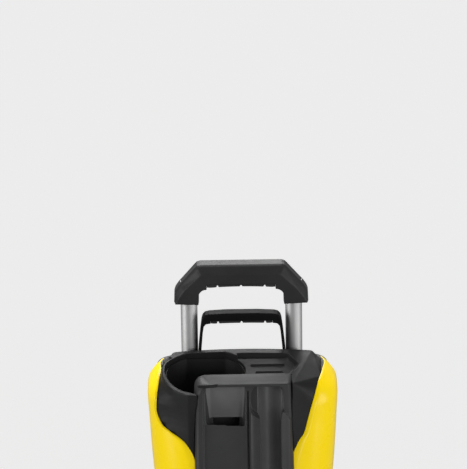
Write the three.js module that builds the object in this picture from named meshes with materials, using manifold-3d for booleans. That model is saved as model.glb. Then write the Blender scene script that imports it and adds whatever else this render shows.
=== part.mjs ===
// Upright electric pressure washer with a telescopic handle.
// Millimetres, +Z up, the front faces -Y, +X is to the right seen from the front.
import * as THREE from "three";
import { mergeVertices } from "three/addons/utils/BufferGeometryUtils.js";
import { ConvexGeometry } from "three/addons/geometries/ConvexGeometry.js";
import Module from "manifold-3d";

// ---- driving dimensions -------------------------------------------------------------------
const GAP = 0.4; // air between neighbouring pieces
const WALL = 3; // moulded wall thickness
const BODY_TOP = 452; // ridge of the top cover
const REAR_DECK_TOP = 424;
const TUBE_X = 81; // the telescopic tubes stand at +-X
const TUBE_Y = 108;
const TUBE_R = 13;
const TUBE_WALL = 1.4;
const GUIDE_R = 15.8;
const GUIDE_BORE = 14.6;
const TUBE_SIDES = 20;
const GRIP_BASE = 525; // underside of the handle's cuffs when pushed in
const GRIP_DEPTH = 44;
const NOTCH_PITCH = 36.4; // finger notches under both handles
const WHEEL_R = 75;
const WHEEL_Y = 133.5;
const AXLE_R = 5;
const MOTOR = { x: 0, y: 12 }; // upright motor and pump share this axis
const WELL = { x: -57, y: 16, r: 62 }; // detergent bottle well
const KNOB = { z: 215, r: 24 };
const OUTLET = { x: 0, z: 112 };
const INLET = { x: -52, z: 118 };
const GLAND = { x: 56, z: 118 };
const HOOK = { z: 372 };

// ---- solids ---------------------------------------------------------------------------------
const wasm = await Module();
wasm.setup();
const V2 = (x, y) => new THREE.Vector2(x, y);
const V3 = (x, y, z) => new THREE.Vector3(x, y, z);

function bareMesh(geometry) {
  const bare = new THREE.BufferGeometry();
  bare.setAttribute("position", geometry.getAttribute("position").clone());
  if (geometry.index) bare.setIndex(geometry.index.clone());
  return mergeVertices(bare, 1e-4);
}

// A closed three.js geometry as a manifold solid, turned outwards if its faces point inwards.
function solid(geometry) {
  const g = bareMesh(geometry);
  const build = (triVerts) =>
    new wasm.Manifold(
      new wasm.Mesh({
        numProp: 3,
        vertProperties: new Float32Array(g.attributes.position.array),
        triVerts,
      }),
    );
  const triangles = new Uint32Array(g.index.array);
  const made = build(triangles);
  return made.volume() < 0 ? build(triangles.reverse()) : made;
}

function geometryOf(shape) {
  const mesh = shape.getMesh();
  const g = new THREE.BufferGeometry();
  g.setAttribute("position", new THREE.BufferAttribute(new Float32Array(mesh.vertProperties), 3));
  g.setIndex(new THREE.BufferAttribute(new Uint32Array(mesh.triVerts), 1));
  g.computeVertexNormals();
  return g;
}

const join = (...shapes) => shapes.reduce((a, b) => a.add(b));
const cut = (shape, ...tools) => tools.reduce((a, b) => a.subtract(b), shape);

function box(x0, x1, y0, y1, z0, z1) {
  const g = new THREE.BoxGeometry(x1 - x0, y1 - y0, z1 - z0);
  return solid(g.translate((x0 + x1) / 2, (y0 + y1) / 2, (z0 + z1) / 2));
}

// A cylinder or cone along one axis: centre of the axis in the other two directions is (a, b).
function rod(axis, r, from, to, a, b, segments = 24, rEnd = r) {
  const g = new THREE.CylinderGeometry(rEnd, r, to - from, segments);
  g.translate(0, (from + to) / 2, 0);
  if (axis === "z") g.rotateX(Math.PI / 2).translate(a, b, 0);
  if (axis === "x") g.rotateZ(-Math.PI / 2).translate(0, a, b);
  if (axis === "y") g.translate(a, 0, b);
  return solid(g);
}

function ring(axis, rOut, rIn, from, to, a, b, segments = 24) {
  return cut(
    rod(axis, rOut, from, to, a, b, segments),
    rod(axis, rIn, from - 1, to + 1, a, b, segments),
  );
}

// A plan outline of [x, y] points raised from z0 to z1.
function prism(points, z0, z1) {
  const shape = new THREE.Shape(points.map(([x, y]) => V2(x, y)));
  const g = new THREE.ExtrudeGeometry(shape, { depth: z1 - z0, bevelEnabled: false });
  return solid(g.translate(0, 0, z0));
}

// A front-view outline of [x, z] points carried from y0 to y1, its edges bevelled.
function slab(points, y0, y1, bevel = 0, steps = 2, curveSegments = 6) {
  const outline = points instanceof THREE.Shape;
  const shape = outline ? points : new THREE.Shape(points.map(([x, z]) => V2(x, z)));
  const g = new THREE.ExtrudeGeometry(shape, {
    depth: y1 - y0 - 2 * bevel,
    bevelEnabled: bevel > 0,
    bevelSize: bevel,
    bevelThickness: bevel,
    bevelOffset: -bevel,
    bevelSegments: steps,
    curveSegments,
  });
  return solid(g.translate(0, 0, -(y1 - bevel)).rotateX(Math.PI / 2));
}

// A profile of [radius, z] points turned about a vertical axis through (x, y).
function turned(profile, x, y, segments = 32) {
  const g = new THREE.LatheGeometry(profile.map(([r, z]) => V2(r, z)), segments);
  return solid(g.rotateX(Math.PI / 2).translate(x, y, 0));
}

const hull = (points) => solid(new ConvexGeometry(points.map((p) => V3(...p))));

// A round bar swept along a smooth path of [x, y, z] points.
function hose(points, r, steps = 14) {
  const path = new THREE.CatmullRomCurve3(points.map((p) => V3(...p)));
  const circle = new THREE.Shape();
  circle.absarc(0, 0, r, 0, Math.PI * 2);
  const options = { steps, extrudePath: path, curveSegments: 8, bevelEnabled: false };
  return solid(new THREE.ExtrudeGeometry(circle, options));
}

// Stacked closed rings of equal length, capped at both ends with fans.
function loft(rings) {
  const n = rings[0].length;
  const points = rings.flat();
  const index = [];
  rings.slice(1).forEach((_, k) => {
    for (let i = 0; i < n; i++) {
      const a = k * n + i;
      const b = k * n + ((i + 1) % n);
      index.push(a, b, b + n, a, b + n, a + n);
    }
  });
  [0, rings.length - 1].forEach((k) => {
    const middle = rings[k].reduce((s, p) => s.add(p), V3(0, 0, 0)).divideScalar(n);
    const c = points.push(middle) - 1;
    for (let i = 0; i < n; i++) {
      const a = k * n + i;
      const b = k * n + ((i + 1) % n);
      index.push(...(k ? [c, a, b] : [c, b, a]));
    }
  });
  const g = new THREE.BufferGeometry().setFromPoints(points);
  g.setIndex(index);
  return solid(g);
}

// A shell between an outer and an inner grid of points, closed round its four borders.
function shell(rows, cols, outer, inner) {
  const points = [];
  [outer, inner].forEach((at) => {
    for (let i = 0; i <= rows; i++) {
      for (let j = 0; j <= cols; j++) points.push(at(i / rows, j / cols));
    }
  });
  const layer = (rows + 1) * (cols + 1);
  const id = (i, j, k) => k * layer + i * (cols + 1) + j;
  const index = [];
  const quad = (a, b, c, d) => index.push(a, b, c, a, c, d);
  for (let i = 0; i < rows; i++) {
    for (let j = 0; j < cols; j++) {
      quad(id(i, j, 0), id(i, j + 1, 0), id(i + 1, j + 1, 0), id(i + 1, j, 0));
      quad(id(i, j, 1), id(i + 1, j, 1), id(i + 1, j + 1, 1), id(i, j + 1, 1));
    }
    quad(id(i, 0, 0), id(i + 1, 0, 0), id(i + 1, 0, 1), id(i, 0, 1));
    quad(id(i, cols, 0), id(i, cols, 1), id(i + 1, cols, 1), id(i + 1, cols, 0));
  }
  for (let j = 0; j < cols; j++) {
    quad(id(0, j, 0), id(0, j, 1), id(0, j + 1, 1), id(0, j + 1, 0));
    quad(id(rows, j, 0), id(rows, j + 1, 0), id(rows, j + 1, 1), id(rows, j, 1));
  }
  const g = new THREE.BufferGeometry().setFromPoints(points);
  g.setIndex(index);
  return solid(g);
}

// ---- the body's outer surface -----------------------------------------------------------------
// A smooth function through [z, value] pairs that never overshoots them.
function through(table) {
  const slope = table.slice(1).map(([z, v], i) => (v - table[i][1]) / (z - table[i][0]));
  const tangent = table.map((_, i) => {
    if (i === 0) return slope[0];
    if (i === slope.length) return slope[i - 1];
    const [a, b] = [slope[i - 1], slope[i]];
    return a * b <= 0 ? 0 : (2 * a * b) / (a + b);
  });
  return (z) => {
    let i = 0;
    while (i < table.length - 2 && z > table[i + 1][0]) i++;
    const h = table[i + 1][0] - table[i][0];
    const t = Math.min(1, Math.max(0, (z - table[i][0]) / h));
    const [p, q] = [table[i][1], table[i + 1][1]];
    const [s, e] = [(1 - t) * (1 - t), t * t];
    const held = p * s * (1 + 2 * t) + q * e * (3 - 2 * t);
    return held + h * t * s * tangent[i] - h * e * (1 - t) * tangent[i + 1];
  };
}

const halfWidth = through([
  [60, 106], [150, 110], [175, 117], [210, 126], [250, 133.6], [316, 140.3],
  [380, 144.2], [412, 146], [424, 144.5], [436, 138], [446, 129], [452, 124],
]);
// How much of its width the body loses towards the rear, by height.
const rearTaper = through([
  [60, 0], [392, 0], [400, 0.017], [412, 0.05], [424, 0.08], [436, 0.11], [446, 0.12], [452, 0.12],
]);
const ease = (t) => THREE.MathUtils.smoothstep(t, 0, 1);
const frontY = through([
  [60, -152], [120, -142], [200, -120], [250, -106], [310, -87], [385, -64], [446, -47], [452, -40],
]);
const widestY = through([[60, 0], [300, 8], [412, 22], [446, 60], [452, 64]]);
const rearY = through([[60, 150], [96, 149], [200, 141], [300, 136], [424, 131], [446, 84], [452, 82]]);
const FRONT_POWER = 2.7;
const REAR_POWER = 6;

// A point of the outer surface: turn is 0 at the front centre, +90 on the right, 180 at the rear.
function bodyPoint(turn, z, inset = 0) {
  const a = THREE.MathUtils.degToRad(turn);
  const [s, c] = [Math.sin(a), Math.cos(a)];
  const power = c > 0 ? FRONT_POWER : REAR_POWER;
  const r = (Math.abs(s) ** power + Math.abs(c) ** power) ** (-1 / power);
  const middle = widestY(z);
  const reach = c > 0 ? middle - frontY(z) - inset : rearY(z) - middle - inset;
  const y = middle - c * r * reach;
  const width = (halfWidth(z) - inset) * (1 - rearTaper(z) * ease((y - 45) / 50));
  return V3(s * r * width, y, z);
}

// The turn at which the surface reaches a given distance from the middle, on the front side.
function turnAt(x, z) {
  const ratio = Math.min(0.9999, x / halfWidth(z));
  return THREE.MathUtils.radToDeg(Math.atan(ratio / (1 - ratio ** FRONT_POWER) ** (1 / FRONT_POWER)));
}

// Where each side panel ends towards the front: [z, distance from the middle].
const PANEL_EDGE_LOW = [[60, 88], [110, 88], [150, 86], [200, 80], [250, 74], [300, 72]];
const leftEdge = through([
  ...PANEL_EDGE_LOW, [323, 73], [340, 77.5], [354, 85.5], [365, 97], [374, 115],
  [380, 125.6], [392, 133], [400, 135], [420, 134], [436, 131], [446, 127.5],
]);
const rightEdge = through([
  ...PANEL_EDGE_LOW, [323, 72], [335, 74], [362, 86.5], [372, 94.5], [392, 100.8], [410, 106.5],
  [425, 111.8], [436, 116.5], [441, 119.5], [446, 126],
]);
const rearSeam = through([[60, 119], [400, 121], [430, 119], [446, 104]]);
const PANEL_ROWS = [
  446, 440, 433, 424, 412, 400, 392, 386, 380, 376, 372, 367, 362, 355, 347, 338, 323,
  300, 262, 225, 190, 170, 150, 110, 62,
];

function panelShell(side, outerInset, innerInset, margin = 0) {
  const edge = side < 0 ? leftEdge : rightEdge;
  const rows = PANEL_ROWS.length - 1;
  const at = (inset) => (i, j) => {
    const row = Math.round(i * rows);
    const lift = (row === 0 ? margin : 0) - (row === rows ? margin : 0);
    const z = PANEL_ROWS[row];
    const first = turnAt(edge(z) - margin, z);
    const last = rearSeam(z) + margin * 0.7;
    return bodyPoint(side * (first + (last - first) * j), z, inset).add(V3(0, 0, lift));
  };
  return shell(rows, 6, at(outerInset), at(innerInset));
}

// The room a side panel takes, with air round it: cut out of whatever lies against it.
const nudges = [[0.5, 0, 0], [-0.5, 0, 0], [0, 0.5, 0], [0, -0.5, 0], [0, 0, 0.5], [0, 0, -0.5]];
const panelRoom = join(
  ...[-1, 1].map((side) => panelShell(side, -3, WALL + GAP, 1)),
  ...[-1, 1].flatMap((side) => nudges.map((by) => panelShell(side, 0, WALL).translate(by))),
);

function sidePanel(side) {
  return panelShell(side, 0, WALL);
}

// ---- chassis ------------------------------------------------------------------------------------
function baseRing(z, inset) {
  const front = THREE.MathUtils.mapLinear(Math.max(z, 34), 34, 60, -208.5, -154);
  const count = 32;
  return Array.from({ length: count }, (_, i) => {
    const a = (i / count) * Math.PI * 2;
    const [c, s] = [Math.cos(a), Math.sin(a)];
    const reach = s < 0 ? -front - inset : 149 - inset;
    const power = 2 / 4.5;
    const x = Math.sign(c) * Math.abs(c) ** power * (111 - inset);
    return V3(x, Math.sign(s) * Math.abs(s) ** power * reach, z);
  });
}

function baseFrame() {
  const tray = cut(
    loft([baseRing(8, 5), baseRing(12, 0), baseRing(34, 0), baseRing(60, 0)]),
    loft([baseRing(16, 5), baseRing(34, 4), baseRing(60.5, 4)]),
  );
  const tower = cut(
    box(-111, 111, 124, 149, 40, 94),
    box(-98, 98, 120, 145, 16, 95),
    box(-107, -98, 128, 145, 90, 95),
  );
  const sockets = [-TUBE_X, TUBE_X].map((x) => ring("z", 20, GUIDE_R + GAP, 14, 52, x, TUBE_Y));
  const posts = [[-50, -40], [50, -40], [-50, 64], [50, 64]].map(([x, y]) =>
    rod("z", 7, 14, 27, x, y, 12),
  );
  const ribs = [-60, 60].map((x) => box(x - 1.5, x + 1.5, -185, -70, 14, 30));
  const toeRib = box(-90, 90, -150, -147, 14, 32);
  const axleHole = rod("x", AXLE_R + GAP, -120, 120, WHEEL_Y, WHEEL_R, 20);
  return cut(join(tray, tower, ...sockets, ...posts, ...ribs, toeRib), axleHole);
}

function rubberFoot(x) {
  return turned([[0, 0], [15, 0], [17, 2], [17, 7.6], [0, 7.6]], x, -178, 20);
}

function lowerFrontCover() {
  const turns = (z) => turnAt(leftEdgeLow(z) + 8, z);
  const top = 295.5;
  const at = (inset) => (i, j) => {
    const z = 62 + (top - 62) * i;
    const t = turns(z);
    return bodyPoint(-t + 2 * t * j, z, inset);
  };
  const front = (z) => frontY(z);
  const skin = shell(8, 8, at(WALL + 2.6), at(2 * WALL + 2.6));
  const knobSeat = ring("y", 29, 7, front(KNOB.z) - 4, front(KNOB.z) + 8, 0, KNOB.z, 32);
  const knobHole = rod("y", 7, -160, -60, 0, KNOB.z, 24);
  const outletHole = join(
    rod("y", 19, -180, -100, OUTLET.x, OUTLET.z, 24),
    box(-9.6, 9.6, -180, -100, OUTLET.z, OUTLET.z + 26.6),
  );
  return cut(join(skin, knobSeat), knobHole, outletHole);
}
const leftEdgeLow = through([...PANEL_EDGE_LOW, [340, 72]]);

function rearCover() {
  const rows = [96, 150, 190, 225, 262, 300, 347, 380, 400, 412, 419];
  const at = (inset) => (i, j) => {
    const z = rows[Math.round(i * (rows.length - 1))];
    const t = rearSeam(z) + 0.8;
    return bodyPoint(t + (360 - 2 * t) * j, z, inset);
  };
  const skin = shell(rows.length - 1, 14, at(0), at(WALL));
  const inletHole = rod("y", 14, 100, 170, INLET.x, INLET.z, 24);
  const glandHole = rod("y", 8.4, 100, 170, GLAND.x, GLAND.z, 24);
  const hookHole = rod("y", 6.4, 100, 170, 0, HOOK.z, 20);
  const vents = [0, 1, 2, 3].map((k) => box(-34, 34, 100, 170, 190 + 16 * k, 196 + 16 * k));
  return cut(skin, inletHole, glandHole, hookHole, ...vents);
}

function rearDeck() {
  const outline = Array.from({ length: 19 }, (_, i) => {
    const p = bodyPoint(238 - (116 * i) / 18, 421, 0.6);
    return [p.x, p.y];
  });
  outline.push([128, 80.8], [-128, 80.8]);
  const plate = prism(outline, REAR_DECK_TOP - 4, REAR_DECK_TOP);
  const holes = [-TUBE_X, TUBE_X].map((x) => rod("z", GUIDE_R + GAP, 400, 440, x, TUBE_Y));
  return cut(plate, ...holes, panelRoom);
}

// ---- top ----------------------------------------------------------------------------------------
const RIDGE = { rear: [109, 80, 450.4], front: [76, -44, 451] }; // upper edge of the right facet

function wellOutline(r, flat, count = 32) {
  return Array.from({ length: count }, (_, i) => {
    const a = (i / count) * Math.PI * 2;
    return [WELL.x + r * Math.cos(a), Math.min(WELL.y + r * Math.sin(a), flat)];
  });
}

// A point just under a side panel, a little way in from its inner edge.
function underPanel(side, z, extra, inset = WALL + GAP + 0.5) {
  const edge = side < 0 ? leftEdge(z) : rightEdge(z);
  const p = bodyPoint(side * turnAt(edge + extra, z), z, inset);
  return [p.x, p.y, z];
}

// The wall round the bottle well is drawn out to the left panel's edge and to a crease in front.
const housingRadius = through([[300, 71.5], [384, 73], [420, 71.5], [438, 69.5], [447, 67.6], [452, 65]]);
const creaseY = through([
  [318, -72], [334, -68.5], [372, -60], [400, -55], [430, -51.5], [447, -49], [452, -47],
]);
function housingRing(z) {
  const ring = wellOutline(housingRadius(z), 71).map(([x, y]) => [x, y, z]);
  const under = (extra) => underPanel(-1, z, extra, WALL + GAP + 0.5 + (extra < 0 ? 1.6 : 0));
  if (z < 446) ring.push(...[7, 0, -9].map(under));
  return [...ring, [-83, creaseY(z), z], [-60, creaseY(z) + 1.5, z]];
}

// Bounds of the accessory shelf's recess at a height; it narrows downward.
const shelfRing = (z, inset) => [
  [-8, 64.5 - inset, z], [71.6 - inset, 64.5 - inset, z], [87.6 - 2.2 * inset, 25, z],
  [72.5 - 1.6 * inset, -12, z], [20, -28, z], [-8, 0, z],
];

function topCover() {
  const crown = [-106, -70, -35, 0, 35, 70, 109].map((x) => [x, 453.7 - 4.2 * (x / 109) ** 2]);
  const back = hull(crown.flatMap(([x, z]) => [[x, 80, z], [x, 68, z - 0.3], [x, 80, 430], [x, 68, 430]]));
  const deck = prism([[-106, 76], [-112, 64], [-60, -12], [76, -12], [107, 76]], 430, BODY_TOP - 1.6);
  const middle = prism([[-90, 70], [-80, -12], [76, -12], [96, 70]], 430, BODY_TOP);
  const heights = [441, 436, 425, 410, 392, 372, 348, 300];
  const rightShoulder = hull([
    RIDGE.rear, RIDGE.front, [122, 66, 443], [122, 50, 443], ...heights.map((z) => underPanel(1, z, 5)),
    [73, -12, 452], [73, 72, 452], [73, -66, 372], [73, -70, 300], [73, -20, 300],
    [100, 60, 425], [73, 80, 425], [110, 78, 430],
  ]);
  const leftCorner = hull([
    [-106, 80, 449.6], [-122, 66, 443], [-100, 60, 450], [-100, 80, 425], [-118, 66, 425],
    [-124, 40, 440], [-110, 20, 440],
  ]);
  const levels = [318, 334, 350, 366, 384, 404, 424, 438, 446.5, 452].map(housingRing);
  const housing = join(...levels.slice(1).map((ring, k) => hull([...levels[k], ...ring])));
  const infill = prism(Array.from({ length: 40 }, (_, i) => {
    const p = bodyPoint(i * 9, 430, WALL + GAP + 0.5);
    return [p.x, Math.min(p.y, 79)];
  }), 424, 430);
  const hollowRight = hull([
    [78, -2, 446], [78, 74, 446], [100, 72, 444], [108, 40, 436], [96, -20, 408], [90, -34, 372],
    [84, -36, 310], [84, -2, 310], [84, 70, 310], [104, 60, 418],
  ]);
  const hollowMiddle = box(14, 86, -8, 74, 310, 440);
  const wellHole = prism(wellOutline(WELL.r, 70), 300, 470);
  const linerRoom = cut(prism(wellOutline(WELL.r + WALL + GAP, 70), 300, 470), linerRim(1));
  const shelf = hull([...shelfRing(446.2, 2.4), ...shelfRing(454.5, 0)]);
  const ribs = [[33.6, 38.7, 25.7], [7.6, 41, 20.5]].map(([y, x, half]) =>
    box(x - half, x + half, y - 1.6, y + 1.6, 445, 449.4));
  const outer = join(back, deck, middle, rightShoulder, leftCorner, housing, infill);
  const outside = cut(outer, hollowRight, hollowMiddle);
  const shelved = join(cut(outside, shelf), ...ribs);
  return cut(shelved, wellHole, linerRoom, wellDip(), panelRoom, holsterRoom, beforeHolster);
}

// What is cut from the front of the well's rim, as a (y, z) outline carried across.
function wellDip() {
  const rim = [
    [-160, 436.6], [-46, 436.6], [-36, 437.8], [-24, 440.6], [-12, 444.4], [0, 448.2], [10, 451], [22, 454],
    [22, 500], [-160, 500],
  ];
  const at = (x) => rim.map(([y, z]) => V3(x, y, z));
  return loft([at(-58), at(-180)]);
}

// Everything above the liner's own rim, which hides under the cover's.
function linerRim(clearance) {
  const rim = [[-120, 427], [-40, 427], [0, 436], [30, 441], [90, 441], [90, 500], [-120, 500]];
  const at = (x) => rim.map(([y, z]) => V3(x, y, z + clearance));
  return loft([at(40), at(-180)]);
}

function bottleWell() {
  const outer = wellOutline(WELL.r + WALL, 70 - 0.4);
  const inner = wellOutline(WELL.r, 70 - 0.4 - WALL);
  const wall = cut(prism(outer, 252, 446), prism(inner, 256, 460));
  const portHole = rod("z", 6, 240, 270, -86, -16, 16);
  return cut(wall, portHole, linerRim(0), holsterRoom, panelRoom);
}

function detergentPort() {
  const profile = [[0, 240], [5.6, 240], [5.6, 256.4], [9, 256.4], [9, 262], [4, 266], [0, 274]];
  const body = turned(profile, -86, -16, 16);
  return cut(body, rod("z", 2, 238, 250, -86, -16, 10));
}

// ---- holster ------------------------------------------------------------------------------------
// The panel's front leans forward as it goes down.
const leanY = (z) => -48 - 0.3017 * (446 - z);
const HOLSTER = { left: -69, right: 71.5, low: 300, back: -13 };

function holsterBlock(grow) {
  const layer = (depth, flare, top, arc) => {
    const f = flare + grow;
    const [x0, x1] = [HOLSTER.left - f, HOLSTER.right + f];
    const [u0, u1, t] = [HOLSTER.left - f * 0.5, HOLSTER.right + f * 0.5, top + grow];
    const outline = [
      [x0, HOLSTER.low - grow], [x1, HOLSTER.low - grow], [u1, t - arc * 0.5],
      [u1 - arc * 0.1, t - arc * 0.22], [u1 - arc * 0.27, t - arc * 0.07], [u1 - arc * 0.5, t],
      [u0 + arc * 0.5, t], [u0 + arc * 0.27, t - arc * 0.07],
      [u0 + arc * 0.1, t - arc * 0.22], [u0, t - arc * 0.5],
    ];
    const shift = depth === 0 ? -grow : 0;
    const y = (z) => (depth < 0 ? HOLSTER.back + grow : leanY(Math.min(z, 449)) + depth + shift);
    return outline.map(([x, z]) => [x, y(z), z]);
  };
  return hull([
    ...layer(0, -1.5, 449.8, 26), ...layer(3.2, 2.6, 451.6, 25), ...layer(13, 6.6, 452.6, 22),
    ...layer(-1, 9.2, 453.4, 20),
  ]);
}
const holsterRoom = holsterBlock(GAP);

// An (x, z) outline carried back from the leaning front plane.
const slanted = (points, near, far) => loft([
  points.map(([x, z]) => V3(x, leanY(z) + near, z)), points.map(([x, z]) => V3(x, leanY(z) + far, z)),
]);
const beforeHolster = slanted([
  [HOLSTER.left - 1, 280], [HOLSTER.right + 1, 280], [HOLSTER.right + 1, 460], [HOLSTER.left - 1, 460],
], -120, 3);

function holsterPanel() {
  const recess = slanted([
    [-60.2, 280], [62.6, 280], [62.6, 436], [59, 444], [53, 447.6], [-50, 447.6], [-57, 444], [-60.2, 436],
  ], -8, 3);
  const mouth = slanted([
    [-57.6, 396], [-56, 391.6], [1.6, 388.8], [3.4, 391], [4.8, 424], [4.4, 447], [-50, 447], [-56, 445],
    [-59.6, 438],
  ], -9, 3.6);
  const deep = (x, z, depth) => [x, leanY(z) + depth, z];
  const pocket = hull([
    [-58, -45, 446.6], [4, -45, 446.6], deep(-57, 394, 3.5), deep(3, 391, 3.5), deep(-54, 352, 8),
    deep(0, 352, 8),
    [-50, -40, 446.6], [0, -40, 446.6], [-49.4, -40, 398], [-1.6, -40, 398], [-48, -46, 352], [-2, -46, 352],
  ]);
  const muzzleHole = hull([
    [-46, -50, 395], [-5, -50, 395], [-46, -20, 391], [-5, -20, 391], [-44, -50, 354], [-7, -50, 354],
    [-44, -22, 360], [-7, -22, 360],
  ]);
  const bore = loft([447.4, 280].map((z) => Array.from({ length: 20 }, (_, i) => {
    const a = (i / 20) * Math.PI * 2;
    return V3(41.2 + 18 * Math.cos(a), leanY(z) + 12 + 18 * Math.sin(a), z);
  })));
  const lips = slanted([
    [26.4, 280], [57.4, 280], [57.4, 402], [60.4, 411], [61.4, 436], [58.6, 443], [52, 446.9],
    [18, 446.9], [12.4, 438],
    [10.2, 428], [10.8, 418], [13, 411], [19, 406.6], [24.6, 403.6], [26.4, 399],
  ], -30, 10);
  const groove = slanted([[6.4, 280], [9, 280], [9, 440], [6.4, 440]], -12, 7);
  const block = cut(holsterBlock(0), recess, mouth, pocket, muzzleHole);
  const behind = (x0, x1, low, high, far) => hull([x0, x1].flatMap((x) => [
    [x, leanY(low) + far, low], [x, leanY(high) + far, high], [x, -5, low], [x, -5, high],
  ]));
  const hollows = [behind(-62, 19.6, 304, 345, 11), behind(22, 68, 304, 428, 33.5)];
  return cut(join(block, cut(troughBulge(), aboveBulge())), bore, lips, groove, ...hollows, panelRoom);
}

// The half-round front of the lance trough, which stands out of the panel.
function troughBulge() {
  const xs = Array.from({ length: 15 }, (_, k) => 9.6 + (63.4 * k) / 14);
  const front = (x) => 4 - 11.5 * Math.max(0, 1 - Math.abs((x - 41.6) / 32.1) ** 2.3) ** (1 / 2.3);
  return loft([300.2, 430].map((z) => [
    ...[...xs].reverse().map((x) => V3(x, leanY(z) + 12, z)), ...xs.map((x) => V3(x, leanY(z) + front(x), z)),
  ]));
}
const aboveBulge = () => slanted([
  [0, 460], [0, 426], [10, 414], [19, 405.5], [25, 403], [30, 400], [52, 400], [57, 404],
  [61, 412], [65.5, 408],
  [72, 400], [80, 398], [80, 460],
], -40, 40);

// ---- handles --------------------------------------------------------------------------------------
function archShape(outer, innerHalf, innerTop, crown) {
  const shape = new THREE.Shape();
  outer.forEach(([x, z], i) => (i ? shape.lineTo(x, z) : shape.moveTo(x, z)));
  [...outer].reverse().forEach(([x, z]) => shape.lineTo(-x, z));
  shape.lineTo(-innerHalf, outer[0][1]);
  shape.lineTo(-innerHalf, innerTop - 12);
  shape.quadraticCurveTo(-innerHalf, innerTop, -innerHalf + 12, innerTop);
  shape.quadraticCurveTo(0, crown, innerHalf - 12, innerTop);
  shape.quadraticCurveTo(innerHalf, innerTop, innerHalf, innerTop - 12);
  shape.lineTo(innerHalf, outer[0][1]);
  return shape;
}

function handleGrip() {
  const z = GRIP_BASE;
  const outline = [
    [103.8, z], [103.2, z + 15], [101.2, z + 21], [96.8, z + 28], [71, z + 58], [68, z + 61.4], [63, z + 63],
  ];
  const y = [TUBE_Y - GRIP_DEPTH / 2, TUBE_Y + GRIP_DEPTH / 2];
  const arch = slab(archShape(outline, 65.3, z + 26, z + 33), ...y, 7, 2);
  const bores = [-TUBE_X, TUBE_X].map((x) => rod("z", TUBE_R + 0.3, z - 5, z + 36, x, TUBE_Y));
  return cut(arch, ...bores, padRoom(53, TUBE_Y, z + 33.4, 20));
}

// The step and the pocket that a finger pad sits in, under a handle.
function padRoom(halfLength, y, step, halfDepth) {
  return join(
    box(-halfLength, halfLength, y - 40, y + 40, step - 30, step),
    box(-halfLength, halfLength, y - halfDepth, y + halfDepth, step - 1, step + 4),
  );
}

// A pad whose front and rear edges roll up and show below the handle, notched for the fingers.
function fingerPad(halfLength, y, step, halfDepth) {
  const [wide, z] = [halfDepth + 0.6, step - 7];
  const half = [[halfDepth - 0.4, step + 3.6], [halfDepth - 0.4, step - 0.4], [wide, step - 0.4],
    [wide, z + 4.2],
    [wide - 2, z + 1.6], [wide - 5, z]];
  const section = [...half, ...[...half].reverse().map(([d, h]) => [-d, h])];
  const at = (x) => section.map(([d, h]) => V3(x, y + d, h));
  const notches = [-1, 0, 1].map((k) => hull([y - 40, y + 40].flatMap((q) =>
    [[k * NOTCH_PITCH - 2.4, q, z - 2], [k * NOTCH_PITCH + 2.4, q, z - 2], [k * NOTCH_PITCH, q, z + 4]])));
  return cut(loft([at(-halfLength), at(halfLength)]), ...notches);
}

function handleInsert() {
  return fingerPad(52.6, TUBE_Y, GRIP_BASE + 33.4, 20);
}

function telescopicTube(x) {
  return ring("z", TUBE_R, TUBE_R - TUBE_WALL, 21, GRIP_BASE + 35, x, TUBE_Y, TUBE_SIDES);
}

function tubeEnd(x) {
  const plug = turned([[0, 18], [13.4, 18], [13.4, 20.6], [11.2, 20.6], [11.2, 37], [0, 37]],
    x, TUBE_Y, TUBE_SIDES);
  return cut(plug, rod("z", 4, 10, 60, x, TUBE_Y, 12));
}

const guideTube = (x) => ring("z", GUIDE_R, GUIDE_BORE, 16.6, REAR_DECK_TOP - 0.6, x, TUBE_Y, TUBE_SIDES);

function tubeBush(x) {
  const inside = TUBE_R + 0.4;
  const outside = GUIDE_BORE - 0.3;
  return turned([
    [inside, 391.6], [outside, 391.6], [outside, REAR_DECK_TOP - 1], [inside, REAR_DECK_TOP - 1],
    [inside, 391.6],
  ], x, TUBE_Y, TUBE_SIDES);
}

const CARRY = { y: 98, base: REAR_DECK_TOP + 0.5 };
function carryHandle() {
  const outline = [[69, CARRY.base], [64.2, 480], [61.8, 498], [57, 506], [50, 508.2], [20, 509.6]];
  const arch = new THREE.Shape();
  outline.forEach(([x, z], i) => (i ? arch.lineTo(x, z) : arch.moveTo(x, z)));
  [...outline].reverse().forEach(([x, z]) => arch.lineTo(-x, z));
  [[-64.3, CARRY.base], [-59.8, 483], [-57, 490], [-52, 492], [52, 492], [57, 490], [59.8, 483],
    [64.3, CARRY.base]]
    .forEach(([x, z]) => arch.lineTo(x, z));
  const bow = slab(arch, CARRY.y - 10.5, CARRY.y + 10.5, 1.8, 2);
  const collars = [-TUBE_X, TUBE_X].map((x) => rod("z", 19, CARRY.base, CARRY.base + 5, x, TUBE_Y, 20));
  const bores = [-TUBE_X, TUBE_X].map((x) => rod("z", TUBE_R + 0.4, 400, 560, x, TUBE_Y, 20));
  return cut(join(bow, ...collars), ...bores, padRoom(48, CARRY.y, 497, 8));
}

function carryHandleInsert() {
  return fingerPad(47.6, CARRY.y, 497, 8);
}

// ---- wheels ---------------------------------------------------------------------------------------
// A profile of [radius, distance from the machine's middle] turned about the axle on one side.
function onAxle(profile, side, segments) {
  const g = new THREE.LatheGeometry(profile.map(([r, x]) => V2(r, x)), segments);
  g.rotateZ(-Math.PI / 2 * side).translate(0, WHEEL_Y, WHEEL_R);
  return solid(g);
}

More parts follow.
